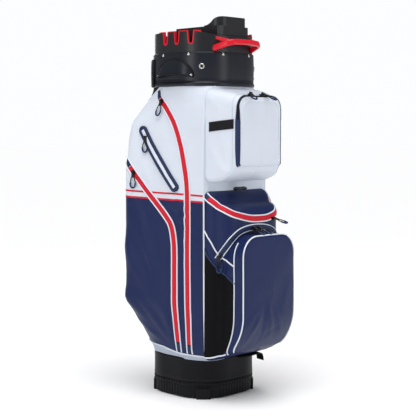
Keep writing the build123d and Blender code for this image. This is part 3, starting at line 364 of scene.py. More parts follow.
def sideways_on(path, shell):
    """A path settled on a shell, with its sideways directions there."""
    centre, normal = settle(path, shell)
    return centre, unit(np.cross(unit(np.gradient(centre, axis=0)), normal))


def strip(name, path, shell, profile, material, slot, body=BAG, width=None):
    """A band along a path on a shell: each column of the grid is the path moved sideways by a profile
    point's offset, dropped on the shell and raised by that point's lift. width scales the offsets."""
    centre, across = sideways_on(path, shell)
    offsets, lifts = np.asarray(profile, float).T
    reach = offsets[None, :, None] * (1.0 if width is None else width[:, None, None])
    side, raised = settle(centre[:, None] + across[:, None] * reach, shell)
    return new_piece(name, side + raised * lifts[None, :, None], material, wrap=True, capped=True, body=body)


def round_profile(radius, sink=0.2, count=10):
    """A circle of a piping cord lying on the cloth: offset is cos, lift is sin, sunk by a share of its radius."""
    turn = np.linspace(0, 2 * np.pi, count, endpoint=False)
    return np.column_stack((radius * np.cos(turn), radius * (np.sin(turn) + 1 - 2 * sink)))


def tape_profile(half, thickness, groove=0.35):
    """A flat tape with rounded edges, closed underneath, with a groove down its middle."""
    return np.array((
        (-half, -0.5), (-half, 0.6 * thickness), (0.4 - half, thickness), (-0.8, thickness),
        (0, thickness - groove), (0.8, thickness), (half - 0.4, thickness), (half, 0.6 * thickness), (half, -0.5),
    ))


def piping(name, path, shell, radius=1.7, material=None, slot="white_fabric", body=BAG):
    """A sewn-in piping cord along a path on a shell."""
    return strip(name, path, shell, round_profile(radius), material or white_piping, slot, body)


def beside(path, shell, offset):
    """A path moved sideways along its shell."""
    centre, across = sideways_on(path, shell)
    return centre + across * offset


def tube_along(name, path, radius, material, body=BAG, count=12, squash=1.0, up=(0, 0, 1)):
    """A round or flattened tube: a circle of each radius carried along a path, capped at both ends."""
    along = unit(np.gradient(path, axis=0))
    side = unit(np.cross(along, np.asarray(up, float)))
    other = np.cross(side, along)
    turn = np.linspace(0, 2 * np.pi, count, endpoint=False)
    radius = np.broadcast_to(radius, len(path))[:, None, None]
    ring = side[:, None] * np.cos(turn)[None, :, None] + other[:, None] * (squash * np.sin(turn))[None, :, None]
    return new_piece(name, path[:, None] + ring * radius, material, wrap=True, capped=True, body=body)


def stitches(name, path, shell, material, slot, pitch=4.0, length=2.6, radius=0.35, lift=0.25):
    """A row of stitches: one small six-sided spindle copied at even steps along a path on a shell."""
    total = np.linalg.norm(np.diff(path, axis=0), axis=1).sum()
    centre, normal = settle(evenly(path, max(int(total / pitch), 3)), shell)
    along = unit(np.gradient(centre, axis=0))
    across = np.cross(along, normal)
    turn = np.linspace(0, 2 * np.pi, 6, endpoint=False)
    steps = np.array((-0.5, -0.32, 0.32, 0.5)) * length
    girth = np.array((0.3, 1.0, 1.0, 0.3)) * radius
    template = np.array([(s, g * np.cos(a), g * np.sin(a) + lift) for s, g in zip(steps, girth) for a in turn])
    frames = np.stack((along, across, normal), axis=1)
    points = centre[:, None] + np.einsum("vk,nkc->nvc", template, frames)
    start = len(template) * np.arange(len(centre))[:, None, None]
    faces = (grid_faces(len(steps), len(turn), wrap=True)[None] + start).reshape(-1, 4)
    caps = np.array(((5, 4, 3, 2, 1, 0), (18, 19, 20, 21, 22, 23)))
    cap_faces = (caps[None] + start).reshape(-1, len(turn))
    mesh = bpy.data.meshes.new(name)
    mesh.from_pydata((points.reshape(-1, 3) * MM).tolist(), [], faces.tolist() + cap_faces.tolist())
    outward_faces(mesh)
    return finished(name, mesh, material)


def mirrored(points):
    """Points on the other side of the bag's middle plane."""
    return np.asarray(points, float) * (-1, 1, 1)


def ripple(points, strength, scale, seed):
    """Slow unevenness of cloth: the mean of seven sine waves in seeded directions, their lengths near scale."""
    source = np.random.default_rng(seed)
    directions = unit(source.normal(size=(7, 3)))
    lengths = scale * source.uniform(0.6, 1.6, 7)
    phases = source.uniform(0, 2 * np.pi, 7)
    waves = np.sin(points @ directions.T * (2 * np.pi / lengths) + phases)
    return strength * waves.mean(axis=-1) * 1.6


def creases(first, second, table):
    """Creases on a flat map: each is a Gaussian ridge with a middle, an angle, a length, a width and a height."""
    height = np.zeros(np.broadcast(first, second).shape)
    for middle_a, middle_b, angle, length, width, rise in table:
        turn = np.radians(angle)
        along = (first - middle_a) * np.cos(turn) + (second - middle_b) * np.sin(turn)
        across = (second - middle_b) * np.cos(turn) - (first - middle_a) * np.sin(turn)
        height = height + rise * np.exp(-((along / length) ** 2) - (across / width) ** 2)
    return height


# ---------------------------------------------------------------- the bag's outer cloth

# Plan of the left half at each height: the seam corner, the shoulder and the rear corner, with how far
# from each the rounding starts.
LEVELS = (95, 112, 223, 533, 640, 682, 714, 736)
PLAN = {
    "seam_x": (-78, -103, -106, -107, -105, -100, -88, -62),
    "shoulder_x": (-107, -109, -115, -115, -111, -109.5, -107, -107.5),
    "shoulder_y": (-60, -63, -63, -63, -63, -63, -62, -60),
    "corner_x": (-107, -114, -166.5, -166.5, -147, -127, -111, -108),
    "corner_y": (107, 109, 111, 111, 111, 111, 110, 108),
    "seam_cut": (22, 6, 4, 4, 5, 8, 16, 31),
    "shoulder_cut": (31, 20, 13, 13, 14, 16, 22, 31),
    "corner_cut": (92, 88, 34, 34, 41, 62, 86, 92),
}
FRONT_Y = -107.5
STOPS = (0, 0.22, 0.27, 0.33, 0.41, 0.66, 0.84, 1.0)
SEAM_T, SHOULDER_T, CORNER_T, YOKE_T, PAD_T = 0.245, 0.37, 0.75, 0.67, 0.93
BODY_TOP = 736


def eased(height, values, spread=9.0):
    """Values between the levels in straight lines, averaged over a window so that no crease is sharp."""
    return np.mean([np.interp(height + shift, LEVELS, values) for shift in np.linspace(-spread, spread, 9)], axis=0)


def body_cloth(t, height):
    """The left half's outline at a height: t is 0 at the middle of the front, passes the seam corner, the
    shoulder and the rear corner, and is 1 at the middle of the back. Straight runs alternate with
    quadratic blends, (1-s)^2 a + 2s(1-s) corner + s^2 b."""
    t, height = np.broadcast_arrays(np.asarray(t, float), np.asarray(height, float))
    at = {name: eased(height, values) for name, values in PLAN.items()}
    front = np.stack((np.zeros_like(t), np.full_like(t, FRONT_Y)), axis=-1)
    seam = np.stack((at["seam_x"], np.full_like(t, FRONT_Y)), axis=-1)
    shoulder = np.stack((at["shoulder_x"], at["shoulder_y"]), axis=-1)
    corner = np.stack((at["corner_x"], at["corner_y"]), axis=-1)
    back = np.stack((np.zeros_like(t), at["corner_y"]), axis=-1)

    def toward(start, end, cut):
        return start + unit(end - start) * cut[..., None]

    marks = (
        front, toward(seam, front, at["seam_cut"]), toward(seam, shoulder, at["seam_cut"]),
        toward(shoulder, seam, at["shoulder_cut"]), toward(shoulder, corner, at["shoulder_cut"]),
        toward(corner, shoulder, at["corner_cut"]), toward(corner, back, at["corner_cut"]), back,
    )
    bends = (None, seam, None, shoulder, None, corner, None)
    plan = np.zeros(t.shape + (2,))
    for index, bend in enumerate(bends):
        inside = (t >= STOPS[index]) & (t <= STOPS[index + 1])
        share = np.clip((t - STOPS[index]) / (STOPS[index + 1] - STOPS[index]), 0, 1)[..., None]
        start, end = marks[index], marks[index + 1]
        middle = (start + end) / 2 if bend is None else bend
        run = (1 - share) ** 2 * start + 2 * share * (1 - share) * middle + share**2 * end
        plan = np.where(inside[..., None], run, plan)
    return np.concatenate((plan, height[..., None]), axis=-1)


SIDE_CREASES = (
    (-45, 455, 35, 26, 5, 1.6), (-40, 440, 30, 24, 4.5, -1.5), (-52, 428, 55, 18, 5, 1.5), (-44, 410, 40, 20, 4, 1.1),
    (-50, 385, 70, 26, 5, 1.2), (-47, 350, 80, 30, 6, 0.9), (-55, 400, 20, 12, 4, -1.2), (-38, 425, 10, 16, 4, 1.0),
    (35, 330, 62, 95, 13, 2.2), (70, 300, 58, 110, 16, 2.4), (15, 250, 75, 90, 12, 1.8), (60, 420, 68, 70, 12, 1.6),
    (90, 220, 50, 60, 13, 2.0), (30, 180, 55, 60, 10, 1.8), (55, 150, 35, 55, 9, 1.6), (-5, 200, 85, 60, 9, 1.0),
    (20, 560, 70, 60, 14, 1.0), (55, 545, 60, 60, 13, 1.2), (0, 640, 60, 50, 14, -0.9), (40, 520, 75, 40, 10, 0.9),
)
FRONT_CREASES = (
    (-86, 560, 88, 120, 5, -0.8), (-60, 700, 25, 40, 7, 1.4), (-40, 690, 155, 36, 6, 1.2), (20, 715, 8, 60, 5, 1.0),
)


def dressed_body(t, height):
    """The body cloth with its fullness: it stands out by 2.5 sin(pi p)^0.7 mm over each side panel and by up
    to 8 mm at the rear corner, a Gaussian in t. Creases and ripples move it along its normal."""
    grid = body_cloth(t, height)
    normals = outward_normals(grid, BODY_CENTRE)
    calm = np.clip((grid[..., 2] - 105) / 40, 0, 1) * np.clip((728 - grid[..., 2]) / 40, 0, 1)
    panel = np.clip((t - SHOULDER_T) / (CORNER_T - SHOULDER_T), 0, 1)
    fullness = 2.5 * np.sin(np.pi * panel) ** 0.7
    round_corner = np.exp(-(((t - CORNER_T) / 0.07) ** 2))
    fullness += round_corner * np.interp(grid[..., 2], (150, 230, 560, 605, 650, 700), (0, 4, 4, 8, 7, 0))
    side = np.where(t > 0.3, creases(grid[..., 1], grid[..., 2], SIDE_CREASES), 0)
    front = np.where(t < 0.25, creases(grid[..., 0], grid[..., 2], FRONT_CREASES), 0)
    relief = calm * (fullness + 1.5 * side + front + ripple(grid, 0.55, 75, 3) + ripple(grid, 0.2, 22, 4))
    return grid + normals * relief[..., None]


def stripe_level(t):
    """Height of the lower stripe, which climbs a little towards the back."""
    return 461.5 + 10.5 * np.clip((t - SEAM_T) / (CORNER_T + 0.09 - SEAM_T), 0, 1)


def cloth_top(t):
    """Top edge of the white side cloth: under the collar, then a slope down to the back."""
    return np.interp(t, (0, 0.676, 0.716, 0.84, 1.0), (BODY_TOP, BODY_TOP, 709, 680, 660))



def hem_level(t):
    """Height of the hem: level at the front, and 16 mm up at the rear corner."""
    return 104 + 16 * np.clip((t - 0.38) / 0.36, 0, 1) ** 2


def half_panel(name, t_span, low, high, size, material, slot, side):
    """A panel of the body cloth between two t values and two heights that may depend on t."""
    t = np.linspace(*t_span, size[1])[None, :]
    share = np.linspace(0, 1, size[0])[:, None]
    height = low(t) * (1 - share) + high(t) * share
    grid = dressed_body(np.broadcast_to(t, height.shape), height)
    if side == "right":
        grid = mirrored(grid)
    centre = grid.mean(axis=(0, 1)) * (0.4, 0.4, 1)
    return new_piece(f"{name}_{side}", grid, material, thickness=CLOTH_WALL, away_from=centre)


def level(value):
    """A height that doesn't depend on t."""
    return lambda t: np.full_like(t, float(value))


PANELS = (
    ("side_cloth_navy", (SEAM_T, PAD_T), hem_level, stripe_level, (170, 190), navy_fabric, "navy_fabric"),
    ("side_cloth_white", (SEAM_T, PAD_T), stripe_level, cloth_top, (130, 190), white_fabric, "white_fabric"),
    ("front_cloth_navy", (0, SEAM_T), hem_level, stripe_level, (90, 50), navy_fabric, "navy_fabric"),
    ("front_cloth_white", (0, SEAM_T), stripe_level, level(BODY_TOP), (110, 60), white_fabric, "white_fabric"),
    ("rear_cloth_navy", (PAD_T, 1), hem_level, stripe_level, (60, 10), black_cloth, "black_fabric"),
    ("rear_cloth_white", (PAD_T, 1), stripe_level, cloth_top, (50, 10), black_cloth, "black_fabric"),
    ("rear_yoke_cloth", (YOKE_T, 1), cloth_top, level(BODY_TOP), (40, 70), black_cloth, "black_fabric"),
    ("bottom_lining", (0, 1), level(92), lambda t: hem_level(t) + 1, (8, 120), grey_fabric, "white_fabric"),
)
body_pieces = {panel[0] + "_" + side: half_panel(*panel, side) for side in ("left", "right") for panel in PANELS}

t_line, z_line = np.linspace(0, 1, 270), np.linspace(94, BODY_TOP, 215)
left_body = shell_of(dressed_body(*np.meshgrid(t_line, z_line, indexing="xy")), BODY_CENTRE)
right_body = tuple(mirrored(part) for part in left_body)


def on_side(y, height):
    """The point of the left body cloth at this y and height."""
    t = np.linspace(0.2, 0.9, 400)
    outline = body_cloth(t, np.full_like(t, height))
    return np.array([np.interp(y, outline[:, 1], outline[:, axis]) for axis in range(2)] + [height])


def side_path(points, count=120):
    """A smooth path on the left side through points of y and height."""
    return smooth_path([on_side(y, height) for y, height in points], count)


def outline_path(t_span, height, count=160):
    """A path round the left half of the bag between two t values, at a height that may depend on t."""
    t = np.linspace(*t_span, count)
    return body_cloth(t, height(t))


def upright(t, low, high, count=120):
    """A path up the left body cloth at one t."""
    return body_cloth(np.full(count, t), np.linspace(low, high, count))


# Front and rear zips of each side, from below the collar to the hem
FRONT_RUN = (
    (42, 724), (33, 704), (4, 679), (-24, 643), (-42, 597), (-54, 549), (-61, 505), (-63, 450), (-63, 300), (-63, 107))
REAR_RUN = ((104, 560), (88, 540), (40, 483.5), (-8, 427), (-22, 403), (-28, 372), (-30, 335), (-30, 220), (-30, 107))
ZIP_HALF = 6.0
PIPE_GAP = ZIP_HALF + 1.3


def part_of(path, low, high):
    """The stretch of a path between two heights."""
    keep = (path[:, 2] >= low) & (path[:, 2] <= high)
    return evenly(path[keep], max(int(keep.sum()), 8))


def both_sides(make, name, path, *rest, **more):
    """The same piece on the left body and, mirrored, on the right."""
    return [
        make(f"{name}_left", path, left_body, *rest, **more),
        make(f"{name}_right", mirrored(path), right_body, *rest, **more),
    ]


for run_name, run, red_low, red_high in (("front_zip", FRONT_RUN, 128, 703), ("rear_zip", REAR_RUN, 132, 541)):
    path = side_path(run, 240)
    both_sides(strip, run_name, part_of(path, red_low, red_high), tape_profile(ZIP_HALF, 1.6), red_tape, "red_zip")
    for end_name, low, high in (("foot", 106, red_low), ("head", red_high, 730)):
        end = part_of(path, low, high)
        both_sides(strip, f"{run_name}_{end_name}", end, tape_profile(ZIP_HALF, 1.3, 0), navy_tape, "navy_fabric")
    for edge_name, offset in (("rear_edge", -PIPE_GAP), ("front_edge", PIPE_GAP)):
        both_sides(piping, f"{run_name}_{edge_name}", beside(path, left_body, offset))

for stripe_name, rise in (("lower_stripe", 0.0), ("upper_stripe", 14.5)):
    path = outline_path((SEAM_T + 0.006, PAD_T), lambda t, rise=rise: stripe_level(t) + rise, 260)
    both_sides(strip, stripe_name, path, tape_profile(2.1, 0.7, 0), red_tape, "red_zip")

both_sides(piping, "front_seam_piping", upright(SEAM_T, 105, 478, 160))
seam_upper = upright(SEAM_T, 478, 734)
both_sides(strip, "front_seam_upper", seam_upper, round_profile(0.9, 0.35), white_fabric, "white_fabric")
both_sides(stitches, "front_seam_stitches", upright(SEAM_T - 0.012, 490, 732), thread_white, "white_fabric")
both_sides(piping, "hem_piping", outline_path((0.0, 1.0), hem_level, 260))
both_sides(piping, "slope_piping", outline_path((YOKE_T - 0.004, PAD_T), cloth_top, 120), radius=1.3)

# Diagonal pocket: a welded navy frame with round ends round a white tape
DIAGONAL = ((68.5, 636), (15, 560), (-37, 486))
diagonal_path = side_path(DIAGONAL, 130)
from_end = np.linalg.norm(diagonal_path - diagonal_path[0], axis=1)
to_end = from_end[-1] - from_end
END_RADIUS = 11.0


def rounded_ends(radius):
    """Width along the band as a share: a half circle at each end, sqrt(1 - (1 - s)^2)."""
    share = np.clip(np.minimum(from_end, to_end) / radius, 0, 1)
    return np.maximum(np.sqrt(1 - (1 - share) ** 2), 0.04)


FRAME_LIFT, FRAME_EDGE = 4.6, 1.2
frame_half = (
    (-END_RADIUS, -0.5), (-END_RADIUS, FRAME_LIFT - FRAME_EDGE), (FRAME_EDGE - END_RADIUS, FRAME_LIFT),
    (-5.2, FRAME_LIFT), (-4.2, FRAME_LIFT - 1.0),
)
frame_profile = np.array(frame_half + tuple((-offset, lift) for offset, lift in frame_half[::-1]))
end_widths = rounded_ends(END_RADIUS)
both_sides(strip, "diagonal_frame", diagonal_path, frame_profile, navy_tape, "navy_fabric", width=end_widths)
inner_path = evenly(diagonal_path[7:-7], 110)
both_sides(strip, "diagonal_tape", inner_path, tape_profile(4.0, FRAME_LIFT - 0.3, 0.5), white_tape, "white_fabric")

# ---------------------------------------------------------------- front pockets

LOOP_STOPS = (0, 0.09, 0.16, 0.34, 0.41, 0.59, 0.66, 0.84, 0.91, 1.0)


def rounded_loop(share, half, low, high, radius, foot_radius):
    """A rounded rectangle in x and height: share is 0 at the middle of the bottom, goes round by the left
    side and the top, and is 1 back at the bottom. Corners are quarter circles, and the lower two have
    their own radius."""
    share, half, low, high, radius, foot_radius = np.broadcast_arrays(share, half, low, high, radius, foot_radius)
    nothing = np.zeros_like(low)
    left_low = np.stack((foot_radius - half, low + foot_radius), -1)
    left_high = np.stack((radius - half, high - radius), -1)
    right_high, right_low = left_high * (-1, 1), left_low * (-1, 1)
    foot_out, foot_down = np.stack((foot_radius, nothing), -1), np.stack((nothing, foot_radius), -1)
    head_out, head_up = np.stack((radius, nothing), -1), np.stack((nothing, radius), -1)
    middle = np.stack((nothing, low), -1)
    runs = (
        (middle, left_low - foot_down), None, (left_low - foot_out, left_high - head_out), None,
        (left_high + head_up, right_high + head_up), None, (right_high + head_out, right_low + foot_out), None,
        (right_low - foot_down, middle),
    )
    corners = {
        1: (left_low, foot_radius, -np.pi / 2), 3: (left_high, radius, np.pi), 5: (right_high, radius, np.pi / 2),
        7: (right_low, foot_radius, 0.0),
    }
    out = np.zeros(share.shape + (2,))
    for index, run in enumerate(runs):
        local = np.clip((share - LOOP_STOPS[index]) / (LOOP_STOPS[index + 1] - LOOP_STOPS[index]), 0, 1)[..., None]
        inside = (share >= LOOP_STOPS[index]) & (share <= LOOP_STOPS[index + 1])
        if run is None:
            centre, bend, start_angle = corners[index]
            angle = start_angle - local * np.pi / 2
            point = centre + bend[..., None] * np.concatenate((np.cos(angle), np.sin(angle)), -1)
        else:
            point = run[0] * (1 - local) + run[1] * local
        out = np.where(inside[..., None], point, out)
    return out


WALL_ROWS, EDGE_ROWS, FACE_ROWS = 60, 10, 44
LOOP_COLUMNS = 300
FOOT_REACH = 90


def pocket_cloth(
    back, front, y_back, depth, edge, crown, puff, fold, rows=(WALL_ROWS, EDGE_ROWS, FACE_ROWS), sweep=0.0, belly=1.0,
):
    """A front pocket: its loop goes from the back outline to the front one with a puff of sin(pi v)^0.8, turns a
    quarter circle of the edge's radius, and shrinks to the middle of the face, which is crowned by 1 - k^2.
    sweep draws the foot of the face back towards the bag, and a belly above 1 keeps the underside low
    until it nears the face."""
    share = np.linspace(0, 1, LOOP_COLUMNS)[None, :]
    back, front = np.asarray(back, float), np.asarray(front, float)
    wall = np.linspace(0, 1, rows[0])
    turn = np.linspace(0, np.pi / 2, rows[1] + 1)[1:]
    shrink = np.linspace(1, 0, rows[2] + 1)[1:] ** 0.9
    flat_face = np.ones(len(shrink))
    inset = np.concatenate((-puff * np.sin(np.pi * wall) ** 0.8, edge * (1 - np.cos(turn)), edge * flat_face))
    out = np.concatenate((wall * (depth - edge), depth - edge + edge * np.sin(turn), depth * flat_face))
    mix = np.concatenate((wall, np.ones(len(turn) + len(shrink))))[:, None]
    scale = np.concatenate((np.ones(len(wall) + len(turn)), shrink))
    half, low, high, radius, foot_radius = (back[k] * (1 - mix) + front[k] * mix for k in range(5))
    low = back[1] * (1 - mix**belly) + front[1] * mix**belly
    inset, scale = inset[:, None], scale[:, None]
    half, low, high = half - inset, low + inset, high - inset
    radius, foot_radius = (np.maximum(bend - 0.25 * inset, 1.0) * scale for bend in (radius, foot_radius))
    middle, tall = (low + high) / 2, (high - low) / 2
    plan = rounded_loop(share, half * scale, middle - tall * scale, middle + tall * scale, radius, foot_radius)
    y = y_back - out[:, None] - crown * (1 - scale**2) + 0 * share
    grid = np.stack((plan[..., 0], y, plan[..., 1]), axis=-1)
    foot = np.clip((front[1] + FOOT_REACH - grid[..., 2]) / FOOT_REACH, 0, 1)
    grid[..., 1] += sweep * foot**2 * np.clip((y_back - grid[..., 1]) / depth, 0, 1)
    centre = np.array((0, y_back, (back[1] + back[2]) / 2))
    normals = outward_normals(grid, centre)
    calm = np.clip(out / 12, 0, 1)[:, None] * np.where(scale > 0.02, 1, 0)
    return grid + normals * (calm * fold(grid))[..., None], centre


def upper_folds(grid):
    """The upper pocket's cloth: soft creases on its walls and a gently dented underside."""
    wall = creases(grid[..., 1], grid[..., 2], (
        (-150, 600, 80, 60, 8, 1.6), (-135, 560, 60, 40, 9, 1.8), (-165, 640, 100, 50, 7, -1.0),
        (-128, 690, 40, 30, 8, 1.4), (-150, 540, 20, 40, 9, 1.4),
    ))
    face = creases(grid[..., 0], grid[..., 2], ((-20, 560, 8, 50, 9, 1.0), (30, 640, 85, 60, 14, 0.8)))
    face_share = np.clip((-grid[..., 1] - 176) / 8, 0, 1)
    return wall * (1 - face_share) + face * face_share + ripple(grid, 0.5, 60, 5)


def cooler_folds(grid):
    """The cooler's cloth: creases under the lid on both walls."""
    wall = creases(grid[..., 1], grid[..., 2], (
        (-135, 400, 120, 40, 9, 1.8), (-125, 420, 60, 36, 8, 1.3), (-150, 380, 100, 30, 8, -1.2),
        (-120, 250, 90, 80, 10, -1.4),
    ))
    return wall + ripple(grid, 0.5, 70, 6)


def ball_folds(grid):
    """The ball pocket's cloth: it sags into soft folds at its foot and stays smooth above."""
    foot = creases(grid[..., 0], grid[..., 2], (
        (-45, 185, 70, 36, 8, 1.8), (-20, 178, 95, 32, 7, -1.4), (5, 186, 110, 36, 8, 1.8), (35, 180, 125, 34, 8, 1.5),
        (-62, 200, 45, 30, 7, 1.2), (20, 168, 20, 34, 6, -1.2), (-5, 215, 80, 40, 10, 1.0), (50, 230, 70, 40, 12, 1.0),
    ))
    return foot + ripple(grid, 0.6, 90, 8) + ripple(grid, 0.2, 25, 9)


UPPER = dict(
    back=(101, 509, 726, 26, 14), front=(74, 544, 708, 27, 9), y_back=-107, depth=81, edge=7, crown=2.5, puff=1.6,
    fold=upper_folds, belly=2.4)
COOLER = dict(
    back=(104, 97, 487, 14, 12), front=(94, 106, 456, 16, 14), y_back=-107, depth=64, edge=32, crown=2.5, puff=4.0,
    fold=cooler_folds, rows=(40, 26, 40))
BALL = dict(
    back=(85, 104, 384, 62, 16), front=(88, 118, 388, 45, 20), y_back=-140, depth=76, edge=7, crown=3.5, puff=1.0,
    fold=ball_folds, sweep=44.0)


def softened(grid, passes):
    """A pocket's cloth with its corners eased: each point moves to a (1, 2, 1) average along its column and
    then round its loop, as many times as there are passes."""
    loop = grid[:, :-1]
    for _ in range(passes):
        loop = np.concatenate((loop[:1], (loop[:-2] + 2 * loop[1:-1] + loop[2:]) / 4, loop[-1:]))
        loop = (np.roll(loop, 1, axis=1) + 2 * loop + np.roll(loop, -1, axis=1)) / 4
    return np.concatenate((loop, loop[:, :1]), axis=1)


pockets = {}
for pocket_name, sizes, material, slot, passes in (
    ("upper_pocket_cloth", UPPER, white_fabric, "white_fabric", 1),
    ("cooler_cloth", COOLER, navy_fabric, "navy_fabric", 16),
    ("ball_pocket_cloth", BALL, navy_fabric, "navy_fabric", 3),
):
    cloth, centre = pocket_cloth(**sizes)
    grid = softened(cloth, passes)
    piece = new_piece(pocket_name, grid, material, thickness=CLOTH_WALL, away_from=centre)
    pockets[pocket_name] = (piece, grid, shell_of(grid, centre))

upper_piece, upper_grid, upper_shell = pockets["upper_pocket_cloth"]
cooler_piece, _, cooler_shell = pockets["cooler_cloth"]
ball_piece, ball_grid, ball_shell = pockets["ball_pocket_cloth"]


def loop_path(grid, row, shares, count=200):
    """A path along one row of a pocket's cloth between two shares of its loop, between the grid's points in
    straight lines."""
    columns = np.linspace(*shares, 4 * count) * (grid.shape[1] - 1)
    column = np.clip(columns.astype(int), 0, grid.shape[1] - 2)
    across = (columns - column)[:, None]
    return evenly(grid[row, column] * (1 - across) + grid[row, column + 1] * across, count)


# Upper pocket: the zip goes round its front edge, up the left, over the top and down the right
ZIP_ROW = WALL_ROWS + 2
upper_zip_path = loop_path(upper_grid, ZIP_ROW, (0.30, 0.70))
strip("upper_zip_teeth", upper_zip_path, upper_shell, tape_profile(3.0, 1.5, 0.5), binding, "black_webbing")
band_taper = np.interp(np.linspace(0, 1, 130), (0, 0.25, 0.6, 0.85, 1), (0.75, 1.0, 1.0, 0.42, 0.05))
for side, shares in (("left", (0.115, 0.40)), ("right", (0.885, 0.60))):
    band = loop_path(upper_grid, ZIP_ROW, shares, len(band_taper))
    strip(
        f"upper_zip_band_{side}", band, upper_shell, tape_profile(7.0, 1.3, 0.4), navy_tape, "navy_fabric",
        width=band_taper)


def upper_seam(name, path, radius, material=white_fabric):
    """A seam or piping on the upper pocket."""
    piping(name, path, upper_shell, radius, material)


upper_seam("upper_face_piping", loop_path(upper_grid, WALL_ROWS + EDGE_ROWS + 2, (0.10, 0.90)), 1.0, white_piping)
upper_seam("upper_wall_piping", loop_path(upper_grid, WALL_ROWS - 9, (0.12, 0.88)), 0.8)
for side, chin in (("left", (0.0, 0.115)), ("right", (0.885, 1.0))):
    upper_seam(f"upper_chin_seam_{side}", loop_path(upper_grid, WALL_ROWS + 5, chin, 90), 1.0)
for side, corner in (("left", 0.125), ("right", 0.875)):
    edge = upper_grid[4:WALL_ROWS + 4, int(corner * (LOOP_COLUMNS - 1))]
    upper_seam(f"upper_corner_seam_{side}", evenly(edge, 70), 0.9)


def wall_grid(corners, rows, columns):
    """A four-cornered patch as a grid: straight lines between the corners both ways."""
    corners = np.asarray(corners, float)
    down, across = np.linspace(0, 1, rows)[:, None, None], np.linspace(0, 1, columns)[None, :, None]
    top = corners[0] * (1 - across) + corners[1] * across
    foot = corners[3] * (1 - across) + corners[2] * across
    return top * (1 - down) + foot * down


def lay_patch(name, grid, shell, lift, material):
    """A flat piece laid on a shell, with its own thickness."""
    landed, normal = settle(grid, shell)
    centre = (landed - normal * 40).mean(axis=(0, 1))
    return new_piece(name, landed + normal * lift, material, thickness=CLOTH_WALL, away_from=centre)


patch_corners = ((-97, -116, 647), (-77, -174, 654), (-77, -174, 632), (-97, -116, 625))
patch_grid = wall_grid(patch_corners, 14, 34)
glove_patch = lay_patch("glove_patch_cloth", patch_grid, upper_shell, 1.4, black_cloth)
patch_rim = smooth_path(patch_corners[:2], 30)
stitches("glove_patch_stitch_top", patch_rim - (0, 0, 2.5), upper_shell, thread_black, "black_fabric", lift=1.6)

# Cooler: the red zip follows the lid's edge along both walls and dips across the front
LID_LEFT = (
    (-104, -108, 480), (-103, -122, 470), (-95, -140, 459), (-90, -154, 451), (-82, -164, 443.5), (-69, -170, 436.5),
    (-42, -172, 429), (-14, -172, 423.5))
LID_RIGHT = (
    (14, -172, 422), (42, -172, 423), (69, -170, 430), (82, -164, 437.5), (90, -154, 446), (95, -140, 456),
    (103, -122, 469), (104, -108, 479))
lid_edge = smooth_path(LID_LEFT + LID_RIGHT, 320)
red_lid = evenly(lid_edge[14:-14], 280)
strip("cooler_zip_tape", red_lid, cooler_shell, tape_profile(ZIP_HALF, 1.8), red_tape, "red_zip")
for side, head in (("left", lid_edge[:15]), ("right", lid_edge[-15:])):
    head_profile = tape_profile(ZIP_HALF, 1.6, 0)
    strip(f"cooler_zip_head_{side}", evenly(head, 16), cooler_shell, head_profile, navy_tape, "navy_fabric")
for edge_name, offset in (("lid", -PIPE_GAP), ("wall", PIPE_GAP)):
    piping(f"cooler_zip_{edge_name}_edge", beside(lid_edge, cooler_shell, offset), cooler_shell)

# Mesh pockets on the cooler's walls, under a navy hem that curves down to the front
GUSSET_ROW, FACE_ROW = 40, WALL_ROWS + 3


def ball_piping_path(row):
    """Left half of a piping round the ball pocket: one row, from the lower corner to the middle of the top."""
    return loop_path(ball_grid, row, (0.118, 0.5), 300)


gusset_path, face_path = ball_piping_path(GUSSET_ROW), ball_piping_path(FACE_ROW)


def shell_part(shell, keep):
    """The part of a shell whose points pass a test."""
    inside = keep(shell[0])
    return shell[0][inside], shell[1][inside]


wall_shell = join_shells(
    shell_part(cooler_shell, lambda points: points[:, 1] > -158),
    shell_part(ball_shell, lambda points: points[:, 1] < -163))
MESH_EDGE = (
    (-103, -108, 356), (-101, -116, 340), (-97, -133, 319), (-92, -152, 303), (-90, -170, 291), (-89, -188, 280))
S_CURVE = (
    (-103, -108, 397), (-101, -114, 389), (-98, -124, 373), (-96, -134, 354), (-94, -146, 341), (-91, -160, 332),
    (-89, -174, 325), (-89, -188, 319))
COOLER_FOOT = ((-104, -108, 104), (-101, -122, 106), (-95, -140, 109), (-88, -160, 114))
mesh_top = smooth_path(MESH_EDGE, 60)
gusset_rise = gusset_path[gusset_path[:, 2] < 330]
column, row = np.meshgrid(np.linspace(0, 1, 50), np.linspace(0, 1, 70), indexing="xy")
mesh_z = 330 - 220 * row
for _ in range(6):
    mesh_y = -108 * (1 - column) + (np.interp(mesh_z, gusset_rise[:, 2], gusset_rise[:, 1]) + 1) * column
    mesh_head = np.interp(mesh_y, mesh_top[::-1, 1], mesh_top[::-1, 2])
    mesh_z = mesh_head * (1 - row) + np.interp(mesh_y, (-187, -107), (122, 105)) * row
mesh_grid = np.stack((np.interp(mesh_y, (-190, -108), (-89, -104)), mesh_y, mesh_z), axis=-1)
for side, flip in (("left", 1), ("right", -1)):
    side_shell = tuple(part * (flip, 1, 1) for part in wall_shell)
    lay_patch(f"mesh_pocket_cloth_{side}", mesh_grid * (flip, 1, 1), side_shell, 1.6, black_mesh)
    strip(f"mesh_hem_{side}", mesh_top * (flip, 1, 1), side_shell, tape_profile(2.5, 2.2, 0), navy_tape, "navy_fabric")
    piping(f"cooler_curve_piping_{side}", smooth_path(S_CURVE, 90) * (flip, 1, 1), side_shell)
    piping(f"cooler_foot_piping_{side}", smooth_path(COOLER_FOOT, 60) * (flip, 1, 1), side_shell)

